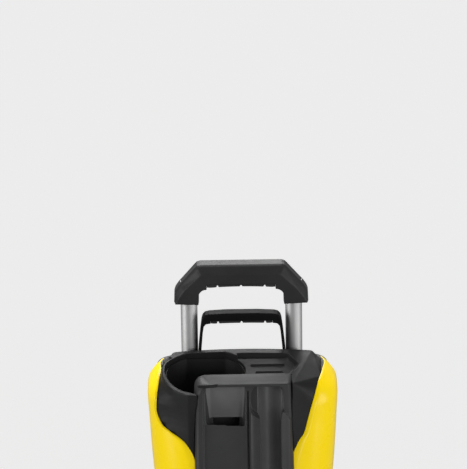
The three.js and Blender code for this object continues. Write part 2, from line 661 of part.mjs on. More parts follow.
function wheelHub(side) {
  const rim = onAxle([
    [5.4, 112], [16, 112], [16, 130], [52, 132], [55, 121], [60, 121], [60, 148], [56, 148],
    [53, 137.5], [17, 138], [17, 144], [5.4, 144], [5.4, 112],
  ], side, 20);
  const windows = [0, 1, 2, 3, 4].map((k) => {
    const a = (k / 5) * Math.PI * 2;
    const at = [WHEEL_Y + 35 * Math.cos(a), WHEEL_R + 35 * Math.sin(a)];
    return rod("x", 9, side > 0 ? 110 : -160, side > 0 ? 160 : -110, ...at, 10);
  });
  return cut(rim, ...windows);
}

function tyre(side) {
  return onAxle([
    [60.4, 119], [68, 117], [73, 119.5], [75, 125], [75, 143], [73, 148.5], [68, 151],
    [60.4, 149.5], [60.4, 119],
  ], side, 28);
}

function wheelCap(side) {
  return onAxle([
    [0, 149.3], [4, 149.3], [17.4, 149.3], [17.4, 144.4], [19.5, 144.4], [19, 150.5], [14, 152.6], [0, 153],
  ], side, 24);
}

const axle = () => rod("x", AXLE_R, -148.4, 148.4, WHEEL_Y, WHEEL_R, 20);

// ---- motor and pump ---------------------------------------------------------------------------------
const about = (profile, segments = 24) => turned(profile, MOTOR.x, MOTOR.y, segments);
const sleeve = (rIn, rOut, z0, z1, segments = 24) =>
  about([[rIn, z0], [rOut, z0], [rOut, z1], [rIn, z1], [rIn, z0]], segments);

function motorHousing() {
  const ribs = [160, 196].map((z) => sleeve(60, 64, z, z + 6));
  return join(sleeve(57.4, 61.5, 134, 228), ...ribs);
}
const statorCore = () => sleeve(34, 57, 154, 208);
const winding = (z0, z1) => sleeve(37, 53, z0, z1, 24);
const rotor = () => about([[0, 100], [7, 100], [7, 154], [33, 154], [33, 208], [7, 208], [7, 238],
  [0, 238]], 24);
const bearing = (z) => sleeve(7.4, 17, z, z + 10, 24);
const motorEndCap = () => about([
  [0, 240.6], [17.4, 240.6], [17.4, 227], [22, 227], [22, 236], [57, 236], [57, 228.4],
  [62, 228.4], [62, 240], [50, 246], [0, 246],
]);
const motorFlange = () => about([
  [17.4, 124], [62, 124], [62, 133.6], [44, 133.6], [24, 138], [17.4, 138], [17.4, 124],
]);
function swashPlate() {
  const disc = rod("z", 30, 100, 121, MOTOR.x, MOTOR.y, 28);
  const tilt = (y) => 112 + 0.16 * (y - MOTOR.y); // the running face the pistons press on
  const under = hull([-40, 40].flatMap((x) => [-40, 60].flatMap((y) => [[x, y, 90], [x, y, tilt(y)]])));
  return cut(disc, under, rod("z", 7.4, 90, 130, MOTOR.x, MOTOR.y, 24));
}
const pistonAt = (k) => {
  const a = THREE.MathUtils.degToRad(90 + 120 * k);
  return [MOTOR.x + 22 * Math.cos(a), MOTOR.y + 22 * Math.sin(a)];
};
function pumpHousing() {
  const body = about([[0, 60], [46, 60], [46, 90], [41, 123.6], [36, 123.6], [36, 88], [0, 88]]);
  const bores = [0, 1, 2].map((k) => rod("z", 7.4, 50, 100, ...pistonAt(k), 20));
  return cut(body, ...bores, rod("z", 9, 92, 130, MOTOR.x, MOTOR.y));
}
function piston(k) {
  const [x, y] = pistonAt(k);
  return turned([[0, 72], [7, 72], [7, 101], [9, 101], [9, 104], [6, 106], [0, 106]], x, y, 20);
}
function pumpHead() {
  const block = join(
    rod("z", 46, 28, 59.6, MOTOR.x, MOTOR.y, 32),
    box(-24, 24, -62, 0, 30, 56),
    box(-66, -30, 0, 24, 32, 56),
  );
  const outlet = rod("y", 5, -70, -30, 0, 44, 16);
  const inlet = rod("x", 5, -75, -40, 12, 44, 16);
  return cut(block, outlet, inlet);
}

// ---- water, detergent and electrics -----------------------------------------------------------------
function outletSocket() {
  const y0 = frontY(OUTLET.z);
  const body = join(
    rod("y", 18.5, y0 - 10, y0 + 14, OUTLET.x, OUTLET.z, 28),
    rod("y", 12, y0 - 20, y0 + 40, OUTLET.x, OUTLET.z, 24),
    box(-9, 9, y0 - 6, y0 + 12, OUTLET.z, OUTLET.z + 26),
  );
  const bore = rod("y", 7, y0 - 25, y0 + 30, OUTLET.x, OUTLET.z, 20);
  const buttonSlot = box(-7.4, 7.4, y0 - 10, y0 + 6, OUTLET.z + 16, OUTLET.z + 30);
  return cut(body, bore, buttonSlot);
}
function outletButton() {
  const y0 = frontY(OUTLET.z);
  const key = join(
    box(-7, 7, y0 - 5.6, y0 + 5.4, OUTLET.z + 20, OUTLET.z + 29),
    box(-5, 5, y0 - 8, y0 - 5, OUTLET.z + 22, OUTLET.z + 28),
  );
  return key;
}
const outletPipe = () => hose([[0, -62.6, 44], [0, -78, 46], [0, -90, 70], [0, -88, 100],
  [0, -96, 112], [0, -102, 112.5]], 5);
function waterInlet() {
  const y0 = rearY(INLET.z);
  const body = join(
    rod("y", 13, y0 - 22, y0 + 14, INLET.x, INLET.z, 28),
    rod("y", 18, y0 + 1, y0 + 4, INLET.x, INLET.z, 28),
    rod("y", 10, y0 - 30, y0 + 24, INLET.x, INLET.z, 24),
  );
  return cut(body, rod("y", 7.6, y0 - 16, y0 + 30, INLET.x, INLET.z, 20));
}
function inletFilter() {
  const y0 = rearY(INLET.z);
  return rod("y", 3.5, y0 - 14, y0 + 20, INLET.x, INLET.z, 16, 7);
}
const inletHose = () => {
  const y0 = rearY(INLET.z) - 31;
  return hose([[-52, y0, 118], [-54, y0 - 16, 117], [-74, 62, 96], [-84, 30, 56], [-78, 12, 44],
    [-67.5, 12, 44]], 5);
};
const detergentHose = () => hose([
  [-86, -26, 239], [-86, -28, 200], [-84, -30, 140], [-76, -26, 90], [-62, -6, 76], [-58, 4, 68],
  [-58, 4, 57],
], 3.6);
function switchBox() {
  const y0 = frontY(KNOB.z);
  const body = join(box(-34, 34, -92, -58, 186, 246), box(-14, 14, -98, -90, 200, 230));
  return cut(body, rod("y", 5.4, y0, -80, 0, KNOB.z, 20));
}
function switchKnob() {
  const y0 = frontY(KNOB.z) - 5;
  const body = join(
    rod("y", KNOB.r, y0 - 8, y0, 0, KNOB.z, 36),
    box(-6, 6, y0 - 20, y0 - 6, KNOB.z - KNOB.r + 1, KNOB.z + KNOB.r - 1),
    rod("y", 5, y0 - 2, -82, 0, KNOB.z, 20),
  );
  return body;
}
const capacitor = () => turned([[0, 262], [19, 262], [20, 263], [20, 326], [18, 328], [0, 328]], 62, 22, 24);
function cableGland() {
  const y0 = rearY(GLAND.z);
  const body = join(
    rod("y", 8, y0 - 12, y0 + 4, GLAND.x, GLAND.z, 20),
    rod("y", 11, y0 + 0.6, y0 + 6, GLAND.x, GLAND.z, 6),
    rod("y", 7.4, y0 + 4, y0 + 22, GLAND.x, GLAND.z, 20, 5.4),
  );
  return cut(body, rod("y", 4, y0 - 20, y0 + 40, GLAND.x, GLAND.z, 16));
}
function cableHook() {
  const y0 = rearY(HOOK.z);
  return join(
    rod("y", 6, y0 - 10, y0 + 8, 0, HOOK.z, 20),
    rod("y", 14, y0 + 0.6, y0 + 6, 0, HOOK.z, 24),
    box(-9, 9, y0 + 5, y0 + 30, HOOK.z - 4, HOOK.z + 4),
    box(-9, 9, y0 + 25, y0 + 30, HOOK.z - 4, HOOK.z + 30),
  );
}
function lanceRest() {
  const cups = [24, 62].map((x) => rod("z", 15, 60.4, 86, x, -166, 20, 16));
  const bores = [24, 62].map((x) => rod("z", 11, 64, 100, x, -166, 20));
  return cut(join(...cups, box(24, 62, -174, -158, 60.4, 76)), ...bores);
}

// ---- materials ------------------------------------------------------------------------------------
const paint = (name, color, roughness, metalness = 0) => {
  const material = new THREE.MeshStandardMaterial({ color, roughness, metalness });
  material.name = name;
  return material;
};
const MATERIALS = {
  black_plastic: () => paint("black_plastic", 0x242526, 0.6),
  grey_plastic: () => paint("grey_plastic", 0x3a3b3d, 0.55),
  yellow_plastic: () => paint("yellow_plastic", 0xf5d400, 0.25),
  aluminium_tube: () => paint("aluminium_tube", 0xc4c6c8, 0.35, 1),
  cast_aluminium: () => paint("cast_aluminium", 0x9fa2a5, 0.5, 1),
  steel: () => paint("steel", 0x8d9094, 0.35, 1),
  brass: () => paint("brass", 0xb8964a, 0.35, 1),
  copper: () => paint("copper", 0xb06a3c, 0.4, 1),
  rubber: () => paint("rubber", 0x1b1b1c, 0.85),
  tyre: () => paint("tyre", 0x202122, 0.8),
  filter_mesh: () => paint("filter_mesh", 0xd8d8d2, 0.6),
};

// ---- the assembly ---------------------------------------------------------------------------------
const washer = new THREE.Group();
washer.name = "pressure_washer";
function place(name, shape, material) {
  const mesh = new THREE.Mesh(geometryOf(shape), MATERIALS[material]());
  mesh.name = name;
  washer.add(mesh);
}

place("base_frame", baseFrame(), "black_plastic");
place("left_foot", rubberFoot(-78), "rubber");
place("right_foot", rubberFoot(78), "rubber");
place("left_side_panel", sidePanel(-1), "yellow_plastic");
place("right_side_panel", sidePanel(1), "yellow_plastic");
place("lower_front_cover", lowerFrontCover(), "black_plastic");
place("rear_cover", rearCover(), "black_plastic");
place("rear_deck", rearDeck(), "black_plastic");
place("top_cover", topCover(), "black_plastic");
place("bottle_well", bottleWell(), "grey_plastic");
place("detergent_port", detergentPort(), "grey_plastic");
place("holster_panel", holsterPanel(), "black_plastic");
place("handle_grip", handleGrip(), "black_plastic");
place("handle_insert", handleInsert(), "rubber");
place("carry_handle", carryHandle(), "black_plastic");
place("carry_handle_insert", carryHandleInsert(), "rubber");
[["left", -1], ["right", 1]].forEach(([name, side]) => {
  const x = side * TUBE_X;
  place(name + "_tube", telescopicTube(x), "aluminium_tube");
  place(name + "_tube_end", tubeEnd(x), "grey_plastic");
  place(name + "_guide_tube", guideTube(x), "grey_plastic");
  place(name + "_tube_bush", tubeBush(x), "black_plastic");
  place(name + "_wheel", wheelHub(side), "black_plastic");
  place(name + "_tyre", tyre(side), "tyre");
  place(name + "_wheel_cap", wheelCap(side), "grey_plastic");
});
place("axle", axle(), "steel");
place("motor_housing", motorHousing(), "cast_aluminium");
place("stator_core", statorCore(), "steel");
place("upper_winding", winding(208.5, 222), "copper");
place("lower_winding", winding(141, 153.5), "copper");
place("rotor", rotor(), "steel");
place("upper_bearing", bearing(229), "steel");
place("lower_bearing", bearing(126), "steel");
place("motor_end_cap", motorEndCap(), "cast_aluminium");
place("motor_flange", motorFlange(), "cast_aluminium");
place("swash_plate", swashPlate(), "steel");
place("pump_housing", pumpHousing(), "cast_aluminium");
[0, 1, 2].forEach((k) => place("piston_" + (k + 1), piston(k), "steel"));
place("pump_head", pumpHead(), "brass");
place("capacitor", capacitor(), "grey_plastic");
place("switch_box", switchBox(), "grey_plastic");
place("switch_knob", switchKnob(), "grey_plastic");
place("outlet_socket", outletSocket(), "brass");
place("outlet_button", outletButton(), "grey_plastic");
place("outlet_pipe", outletPipe(), "steel");
place("water_inlet", waterInlet(), "black_plastic");
place("inlet_filter", inletFilter(), "filter_mesh");
place("inlet_hose", inletHose(), "rubber");
place("detergent_hose", detergentHose(), "rubber");
place("cable_gland", cableGland(), "black_plastic");
place("cable_hook", cableHook(), "black_plastic");
place("lance_rest", lanceRest(), "black_plastic");

export default washer;
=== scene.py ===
import math
from math import cos, pi, radians, sin

import bmesh
import bpy
import numpy as np
from mathutils import Matrix, Vector


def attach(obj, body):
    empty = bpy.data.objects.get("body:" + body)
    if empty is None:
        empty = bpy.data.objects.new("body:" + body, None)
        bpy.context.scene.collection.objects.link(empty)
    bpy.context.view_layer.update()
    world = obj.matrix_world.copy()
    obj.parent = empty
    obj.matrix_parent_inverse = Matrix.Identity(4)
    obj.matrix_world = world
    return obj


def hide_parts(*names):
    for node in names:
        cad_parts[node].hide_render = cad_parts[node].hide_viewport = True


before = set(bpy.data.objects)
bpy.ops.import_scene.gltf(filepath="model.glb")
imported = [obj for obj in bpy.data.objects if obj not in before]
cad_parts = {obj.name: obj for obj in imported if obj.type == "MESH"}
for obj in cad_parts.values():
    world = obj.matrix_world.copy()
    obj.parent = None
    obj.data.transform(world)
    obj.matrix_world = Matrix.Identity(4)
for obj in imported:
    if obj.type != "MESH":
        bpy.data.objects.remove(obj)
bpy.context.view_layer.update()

MM = 0.001
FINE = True

# ---- driving dimensions, millimetres ----
WALL = 3.0
TUBE_X, TUBE_Y, TUBE_R = 81.0, 108.0, 13.0
TUBES = (-TUBE_X, TUBE_X)
GRIP_BASE = 525.2
NOTCH_PITCH = 36.4
REAR_DECK_TOP = 424.0
WHEEL_Y, WHEEL_R = 133.5, 75.0
WELL_X, WELL_Y, WELL_R = -57.0, 16.0, 62.0
KNOB_Z = 215.0
OUTLET_Z = 112.0
INLET_X, GLAND_X, SOCKET_Z = -52.0, 56.0, 118.0
HOOK_Z = 372.0
HOLSTER_L, HOLSTER_R, HOLSTER_LOW, HOLSTER_BACK = -69.0, 71.5, 300.0, -13.0
BORE_X, BORE_R, BORE_DEEP = 41.2, 18.0, 12.0  # the lance's channel in the holster
COVER_INSET = WALL + 0.9  # the top cover runs under the side panels' edges
FRONT_SKIN = WALL + 2.6  # and so does the front cover
AMBIENT = 0.3  # the studio's even light
FLOOR_GLOW = 0.84 - 0.8 * AMBIENT  # keeps the paper at one pale grey


# ---- mesh helpers ----
def face_out(bm, mesh):
    """Turns every face outwards and stores the result."""
    bmesh.ops.recalc_face_normals(bm, faces=bm.faces)
    if bm.calc_volume(signed=True) < 0:
        bmesh.ops.reverse_faces(bm, faces=bm.faces)
    bm.to_mesh(mesh)
    bm.free()


def in_scene(mesh):
    obj = bpy.data.objects.new("tool", mesh)
    bpy.context.scene.collection.objects.link(obj)
    return obj


def made(verts, faces, smooth=True):
    """A mesh object from millimetre vertices."""
    mesh = bpy.data.meshes.new("tool")
    mesh.from_pydata([tuple(c * MM for c in v) for v in verts], [], faces)
    mesh.update()
    bm = bmesh.new()
    bm.from_mesh(mesh)
    face_out(bm, mesh)
    obj = in_scene(mesh)
    return shade(obj) if smooth else obj


def shade(obj, angle=None):
    for p in obj.data.polygons:
        p.use_smooth = True
    if angle is not None:
        obj.data.set_sharp_from_angle(angle=radians(angle))
    return obj


def settle(obj):
    """Applies every modifier on an object."""
    graph = bpy.context.evaluated_depsgraph_get()
    done = bpy.data.meshes.new_from_object(obj.evaluated_get(graph))
    obj.modifiers.clear()
    old, obj.data = obj.data, done
    bpy.data.meshes.remove(old)
    return obj


def combine(base, tools, operation):
    """Joins tools to base or cuts them from it, and removes them."""
    for tool in tools:
        m = base.modifiers.new("b", "BOOLEAN")
        m.operation, m.solver, m.object = operation, "EXACT", tool
        settle(base)
        bpy.data.objects.remove(tool)
    return base


def join(base, *tools):
    return combine(base, tools, "UNION")


def cut(base, *tools):
    return combine(base, tools, "DIFFERENCE")


def moulded(obj, voxel, passes):
    """Remeshes a solid into an even skin and rounds its edges, as a moulding's are."""
    m = obj.modifiers.new("r", "REMESH")
    m.mode, m.voxel_size, m.adaptivity = "VOXEL", voxel * (1 if FINE else 2) * MM, 0.0
    s = obj.modifiers.new("s", "SMOOTH")
    s.factor, s.iterations = 0.5, passes
    settle(obj)
    return shade(obj)


def bevelled(obj, width, segments=3):
    m = obj.modifiers.new("v", "BEVEL")
    m.width, m.segments, m.limit_method = width * MM, segments, "ANGLE"
    m.angle_limit, m.harden_normals = radians(35), False
    settle(obj)
    return shade(obj, 40)


def box(x0, x1, y0, y1, z0, z1):
    corners = [(x, y, z) for z in (z0, z1) for y in (y0, y1) for x in (x0, x1)]
    faces = [(0, 2, 3, 1), (4, 5, 7, 6), (0, 1, 5, 4), (2, 6, 7, 3), (0, 4, 6, 2), (1, 3, 7, 5)]
    return made(corners, faces, False)


def loft(rings, closed=False, smooth=True):
    """Stacked rings of equal length; capped, or joined end to start if closed."""
    n, verts, faces = len(rings[0]), [p for r in rings for p in r], []
    spans = len(rings) if closed else len(rings) - 1
    for k in range(spans):
        a, b = k * n, ((k + 1) % len(rings)) * n
        for i in range(n):
            j = (i + 1) % n
            faces.append((a + i, a + j, b + j, b + i))
    if not closed:
        faces.append(tuple(range(n)))
        faces.append(tuple((len(rings) - 1) * n + i for i in range(n)))
    return made(verts, faces, smooth)


def lathe(profile, axis, centre, segments=64):
    """A profile of (radius, distance along the axis) pairs turned about an axis through centre."""
    verts, faces, n = [], [], len(profile)
    for k in range(segments):
        a = 2 * pi * k / segments
        for r, h in profile:
            c, s = r * cos(a), r * sin(a)
            verts.append({"z": (c, s, h), "y": (c, h, s), "x": (h, c, s)}[axis])
    closed = all(r > 1e-6 for r, _ in profile)
    for k in range(segments):
        a, b = k * n, ((k + 1) % segments) * n
        for i in range(n if closed else n - 1):
            j = (i + 1) % n
            faces.append((a + i, a + j, b + j, b + i))
    obj = made([tuple(p + q for p, q in zip(v, centre)) for v in verts], faces)
    bm = bmesh.new()
    bm.from_mesh(obj.data)
    bmesh.ops.remove_doubles(bm, verts=bm.verts, dist=1e-7)
    bmesh.ops.dissolve_degenerate(bm, edges=bm.edges, dist=1e-8)
    face_out(bm, obj.data)
    return shade(obj, 38)


def rod(axis, r, start, end, a, b, segments=48):
    """A round bar along an axis through (a, b) in the two other directions."""
    centre = {"z": (a, b, 0), "y": (a, 0, b), "x": (0, a, b)}[axis]
    return lathe([(0, start), (r, start), (r, end), (0, end)], axis, centre, segments)


def hull(points):
    bm = bmesh.new()
    for p in points:
        bm.verts.new(tuple(c * MM for c in p))
    done = bmesh.ops.convex_hull(bm, input=bm.verts)
    bmesh.ops.delete(bm, geom=list(set(done["geom_interior"] + done["geom_unused"])), context="VERTS")
    mesh = bpy.data.meshes.new("tool")
    face_out(bm, mesh)
    return in_scene(mesh)


def rounded(points, radius, steps=6):
    """A polygon of (x, y) points with its corners rounded; radius may be one per corner."""
    radii = radius if isinstance(radius, (list, tuple)) else [radius] * len(points)
    out = []
    for i, p in enumerate(points):
        p = Vector(p)
        a, b = Vector(points[i - 1]) - p, Vector(points[(i + 1) % len(points)]) - p
        r = min(radii[i], 0.49 * a.length, 0.49 * b.length)
        if r < 0.05:
            out.append(tuple(p))
            continue
        start, end = p + a.normalized() * r, p + b.normalized() * r
        for k in range(steps + 1):
            t = k / steps
            out.append(tuple(start * (1 - t) ** 2 + p * 2 * t * (1 - t) + end * t * t))
    return out


def prism(points, low, high, axis="z"):
    """An outline carried along an axis: (x, y) along z, (x, z) along y, (y, z) along x."""
    place = {"z": lambda p, h: (p[0], p[1], h), "y": lambda p, h: (p[0], h, p[1]),
             "x": lambda p, h: (h, p[0], p[1])}[axis]
    return loft([[place(p, h) for p in points] for h in (low, high)], smooth=False)


def shell(outer, inner):
    """A closed skin between two grids of points of the same size."""
    rows, cols = len(outer), len(outer[0])
    verts = [p for g in (outer, inner) for r in g for p in r]
    layer, faces = rows * cols, []
    for i in range(rows - 1):
        for a in range(i * cols, i * cols + cols - 1):
            faces.append((a, a + 1, a + cols + 1, a + cols))
            faces.append((layer + a, layer + a + cols, layer + a + cols + 1, layer + a + 1))
    for i in range(rows - 1):
        for a in (i * cols, i * cols + cols - 1):
            faces.append((a, a + cols, layer + a + cols, layer + a))
    for j in range(cols - 1):
        for a in (j, (rows - 1) * cols + j):
            faces.append((a, layer + a, layer + a + 1, a + 1))
    return made(verts, faces)


# ---- the body's outer surface ----
def through(table):
    """A smooth function through (z, value) pairs that never overshoots them."""
    z, v = [np.array(c, float) for c in zip(*table)]
    slope = np.diff(v) / np.diff(z)
    tangent = np.empty(len(z))
    tangent[0], tangent[-1] = slope[0], slope[-1]
    for i in range(1, len(z) - 1):
        a, b = slope[i - 1], slope[i]
        tangent[i] = 0 if a * b <= 0 else 2 * a * b / (a + b)

    def value(at):
        i = int(np.clip(np.searchsorted(z, at) - 1, 0, len(z) - 2))
        h = z[i + 1] - z[i]
        t = min(1.0, max(0.0, (at - z[i]) / h))
        return float(v[i] * (1 - t) ** 2 * (1 + 2 * t) + v[i + 1] * t * t * (3 - 2 * t)
                     + h * t * (1 - t) ** 2 * tangent[i] - h * t * t * (1 - t) * tangent[i + 1])

    return value


half_width = through([(60, 106), (150, 110), (175, 117), (210, 126), (250, 133.6), (316, 140.3),
                      (380, 144.2), (412, 146), (424, 144.5), (436, 138), (446, 129), (452, 124)])
front_y = through([(60, -152), (120, -142), (200, -120), (250, -106), (310, -87), (385, -64),
                   (446, -47), (452, -40)])
widest_y = through([(60, 0), (300, 8), (412, 22), (446, 60), (452, 64)])
rear_y = through([(60, 150), (96, 149), (200, 141), (300, 136), (424, 131), (446, 84), (452, 82)])
rear_taper = through([(60, 0), (392, 0), (400, 0.017), (412, 0.05), (424, 0.08), (436, 0.11), (446, 0.12),
                      (452, 0.12)])
rear_seam = through([(60, 119), (400, 121), (430, 119), (446, 104)])
EDGE_LOW = [(60, 88), (110, 88), (150, 86), (200, 80), (250, 74), (300, 72)]
edge_low = through([*EDGE_LOW, (340, 72)])
left_edge = through([*EDGE_LOW, (323, 73), (340, 77.5), (354, 85.5), (365, 97), (374, 115),
                     (380, 125.6), (392, 133), (400, 135), (420, 134), (436, 131), (446, 127.5)])
right_edge = through([*EDGE_LOW, (323, 72), (335, 74), (362, 86.5), (372, 94.5), (392, 100.8),
                      (410, 106.5), (425, 111.8), (436, 116.5), (441, 119.5), (446, 126)])
FRONT_POWER, REAR_POWER = 2.7, 6.0


def body_point(turn, z, inset=0.0):
    """Turn is 0 at the front centre, +90 on the right, 180 at the rear."""
    a = radians(turn)
    s, c = sin(a), cos(a)
    n = FRONT_POWER if c > 0 else REAR_POWER
    r = (abs(s) ** n + abs(c) ** n) ** (-1 / n)
    middle = widest_y(z)
    reach = middle - front_y(z) - inset if c > 0 else rear_y(z) - middle - inset
    y = middle - c * r * reach
    return (s * r * (half_width(z) - inset) * (1 - rear_taper(z) * ease((y - 45) / 50)), y, z)


def turn_at(x, z):
    q = min(0.9999, x / half_width(z))
    return math.degrees(math.atan(q / (1 - q ** FRONT_POWER) ** (1 / FRONT_POWER)))


def ease(t):
    t = min(1.0, max(0.0, t))
    return t * t * (3 - 2 * t)


# ---- materials ----
class Shader:
    """A node material with a Principled shader and procedural detail in object space."""

    def __init__(self, name, colour, roughness, metallic=0.0):
        self.material = bpy.data.materials.new(name)
        self.material.use_nodes = True
        self.nodes, self.links = self.material.node_tree.nodes, self.material.node_tree.links
        self.bsdf = self.nodes["Principled BSDF"]
        self.put("Metallic", metallic)
        self.colour, self.roughness = colour, roughness
        self.coords = self.nodes.new("ShaderNodeTexCoord").outputs["Object"]
        self.material.diffuse_color = (*colour, 1)

    def put(self, socket, value):
        self.bsdf.inputs[socket].default_value = value
        return self

    def noise(self, scale, detail=3.0, stretch=(1, 1, 1)):
        mapping = self.nodes.new("ShaderNodeMapping")
        mapping.inputs["Scale"].default_value = stretch
        self.links.new(self.coords, mapping.inputs["Vector"])
        n = self.nodes.new("ShaderNodeTexNoise")
        n.inputs["Scale"].default_value, n.inputs["Detail"].default_value = scale, detail
        self.links.new(mapping.outputs["Vector"], n.inputs["Vector"])
        return n.outputs["Fac"]

    def ramp(self, value, low, high):
        r = self.nodes.new("ShaderNodeValToRGB")
        for e, p, c in zip(r.color_ramp.elements, (0.3, 0.7), (low, high)):
            e.position, e.color = p, (*c, 1)
        self.links.new(value, r.inputs["Fac"])
        return r.outputs["Color"]

    def span(self, value, low, high):
        m = self.nodes.new("ShaderNodeMapRange")
        m.inputs["From Min"].default_value, m.inputs["From Max"].default_value = 0.25, 0.75
        m.inputs["To Min"].default_value, m.inputs["To Max"].default_value = low, high
        self.links.new(value, m.inputs["Value"])
        return m.outputs["Result"]

    def cloud(self, scale, amount, rough_amount=0.06):
        """Slow variation of colour and roughness."""
        slow = self.noise(scale)
        low = tuple(c * (1 - amount) for c in self.colour)
        high = tuple(min(1, c * (1 + amount)) for c in self.colour)
        self.links.new(self.ramp(slow, low, high), self.bsdf.inputs["Base Color"])
        rough = self.span(self.noise(scale * 2.3, 4), self.roughness - rough_amount,
                          self.roughness + rough_amount)
        self.links.new(rough, self.bsdf.inputs["Roughness"])
        return self

    def bump(self, height, strength, distance):
        b = self.nodes.new("ShaderNodeBump")
        b.inputs["Strength"].default_value, b.inputs["Distance"].default_value = strength, distance
        self.links.new(height, b.inputs["Height"])
        self.links.new(b.outputs["Normal"], self.bsdf.inputs["Normal"])
        return self


def matt_black(name, colour, roughness, grain=1600, depth=0.25, specular=0.2):
    s = Shader(name, colour, roughness).cloud(18, 0.12).put("Specular IOR Level", specular)
    return s.bump(s.noise(grain, 2), depth, 0.00012).material


def gloss_yellow():
    s = Shader("yellow_gloss", (1.0, 0.715, 0.0), 0.28).cloud(9, 0.02, 0.03)
    s.put("Specular IOR Level", 0.2).put("Coat Weight", 0.1).put("Coat Roughness", 0.15)
    return s.bump(s.noise(60, 2), 0.05, 0.0004).material


def brushed(name, colour, roughness, stretch, grain=900, strength=0.12):
    s = Shader(name, colour, roughness, 1.0).cloud(12, 0.05, 0.05)
    return s.bump(s.noise(grain, 3, stretch), strength, 0.0001).material


def soft_rubber(name, colour, roughness=0.75):
    s = Shader(name, colour, roughness).cloud(25, 0.15, 0.08).put("Sheen Weight", 0.05)
    return s.bump(s.noise(900, 4), 0.35, 0.0002).material


MAT = {
    "black": matt_black("black_moulding", (0.033, 0.033, 0.0332), 0.42),
    # painted shade: the top cover's black is set darker than the other black mouldings' so that its side
    # facets come out dark
    "deck": matt_black("black_deck_painted_shade", (0.016, 0.016, 0.0161), 0.42, specular=0.1),
    # the low specular is a matt finish; the much darker black is painted shade, keeping the carry handle's
    # top from coming out bright
    "matt": matt_black("matt_moulding_painted_shade", (0.006, 0.006, 0.0061), 0.5, specular=0.05),
    # the grain bump is the real texture; the grey, far lighter than the other blacks, is painted sheen for
    # light caught on the pocket's back wall and inside the lance's bore
    "grain": matt_black("grained_black_painted_sheen", (0.12, 0.12, 0.12), 0.36, 700, 0.8),
    "grip": matt_black("grip_black", (0.022, 0.022, 0.0222), 0.42),
    "dark": matt_black("dark_liner", (0.010, 0.010, 0.010), 0.5),
    "grey": matt_black("grey_moulding", (0.085, 0.085, 0.088), 0.5),
    "yellow": gloss_yellow(),
    "tube": brushed("satin_tube", (0.47, 0.47, 0.47), 0.58, (1, 1, 0.02)),
    "cast": brushed("cast_metal", (0.45, 0.46, 0.47), 0.5, (1, 1, 1), 500, 0.4),
    "steel": brushed("turned_steel", (0.5, 0.51, 0.53), 0.32, (1, 1, 0.1)),
    "brass": brushed("turned_brass", (0.66, 0.47, 0.2), 0.3, (1, 1, 0.2)),
    "copper": brushed("copper_wire", (0.62, 0.28, 0.14), 0.35, (0.1, 0.1, 1), 1200, 0.6),
    "rubber": soft_rubber("soft_rubber", (0.02, 0.02, 0.02)),
    "tyre": soft_rubber("tyre_rubber", (0.022, 0.022, 0.023), 0.8),
    "mesh": matt_black("filter_mesh", (0.6, 0.6, 0.57), 0.5, 2500, 0.9),
}


def finish_piece(obj, name, material, body, slot, *nodes):
    obj.name = obj.data.name = name
    obj.data.materials.clear()
    obj.data.materials.append(MAT[material])
    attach(obj, body)
    if nodes:
        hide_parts(*nodes)
    return obj


# ---- side panels ----
PANEL_Z = np.concatenate([np.linspace(62, 300, 42)[:-1], np.linspace(300, 372, 34)[:-1],
                          np.linspace(372, 432, 40)[:-1], np.linspace(432, 446, 16)])


def bevel_width(side, z):
    """How broad the bright bevel along the inner edge is."""
    low = 11.0 - 3.0 * ease((300 - z) / 140)
    top = 6.0 if side > 0 else 1.6
    return top + (low - top) * ease((372 - z) / 30)


def panel_rows(side, layer, margin=0.0, rows=None, cols=54):
    """layer(distance from the inner edge, z, share of the way round) gives the inset."""
    edge = right_edge if side > 0 else left_edge
    grid = []
    for z in PANEL_Z if rows is None else rows:
        first, last = turn_at(edge(z) - margin, z), rear_seam(z) + margin * 0.7
        share = [(j / cols) ** 1.5 if z < 440 else j / cols for j in range(cols + 1)]
        turns = [side * (first + (last - first) * s) for s in share]
        start = Vector(body_point(turns[0], z))
        row = []
        for s, t in zip(share, turns):
            along = (Vector(body_point(t, z)) - start).length
            row.append(body_point(t, z, layer(along, z, s)))
        grid.append(row)
    return grid


def side_panel(side):
    def face(along, z, share):
        width = bevel_width(side, z)
        t = min(1.0, along / width)
        lip = 2.4 * (1 - t) ** 1.25
        rear = 1.6 * max(0.0, (share - 0.985) / 0.015)
        ends = 1.2 * max(0.0, (64.5 - z) / 2.5) + 1.0 * max(0.0, (z - 444.6) / 1.4)
        return min(2.7, lip + rear + ends)

    return shade(shell(panel_rows(side, face), panel_rows(side, lambda a, z, s: WALL - 0.05)), 30)


for side, name in ((-1, "left_side_panel"), (1, "right_side_panel")):
    finish_piece(side_panel(side), name + "_skin", "yellow", "machine", "yellow_plastic", name)


def panel_room(side):
    """The space that a side panel needs, for cutting its neighbours."""
    rows = np.concatenate([np.linspace(62, 330, 14)[:-1], np.linspace(330, 446, 59)])
    return shell(panel_rows(side, lambda a, z, s: -14.0, 0.8, rows, 30),
                 panel_rows(side, lambda a, z, s: WALL + 0.35, 0.8, rows, 30))


# ---- top cover ----
def well_circle(r, count, flat):
    """A circle about the bottle well's axis, cut flat at the back."""
    turns = [2 * pi * k / count for k in range(count)]
    return [(WELL_X + r * cos(a), min(WELL_Y + r * sin(a), flat)) for a in turns]


def under_edge(z):
    return body_point(turn_at(right_edge(z) + 5, z), z, COVER_INSET)


housing_radius = through([(300, 71.5), (384, 73), (420, 71.5), (438, 69.5), (447, 67.6), (450.5, 66.4),
                          (452, 65)])
crease_y = through([(318, -72), (334, -68.5), (372, -60), (400, -55), (430, -51.5), (447, -49), (452, -47)])


def around(points):
    """The convex outline round some (x, y) points."""
    points = sorted(set((round(x, 4), round(y, 4)) for x, y in points))
    halves = []
    for order in (points, points[::-1]):
        chain = []
        for p in order:
            while len(chain) > 1 and ((chain[-1][0] - chain[-2][0]) * (p[1] - chain[-2][1])
                                      - (chain[-1][1] - chain[-2][1]) * (p[0] - chain[-2][0])) <= 0:
                chain.pop()
            chain.append(p)
        halves += chain[:-1]
    return halves


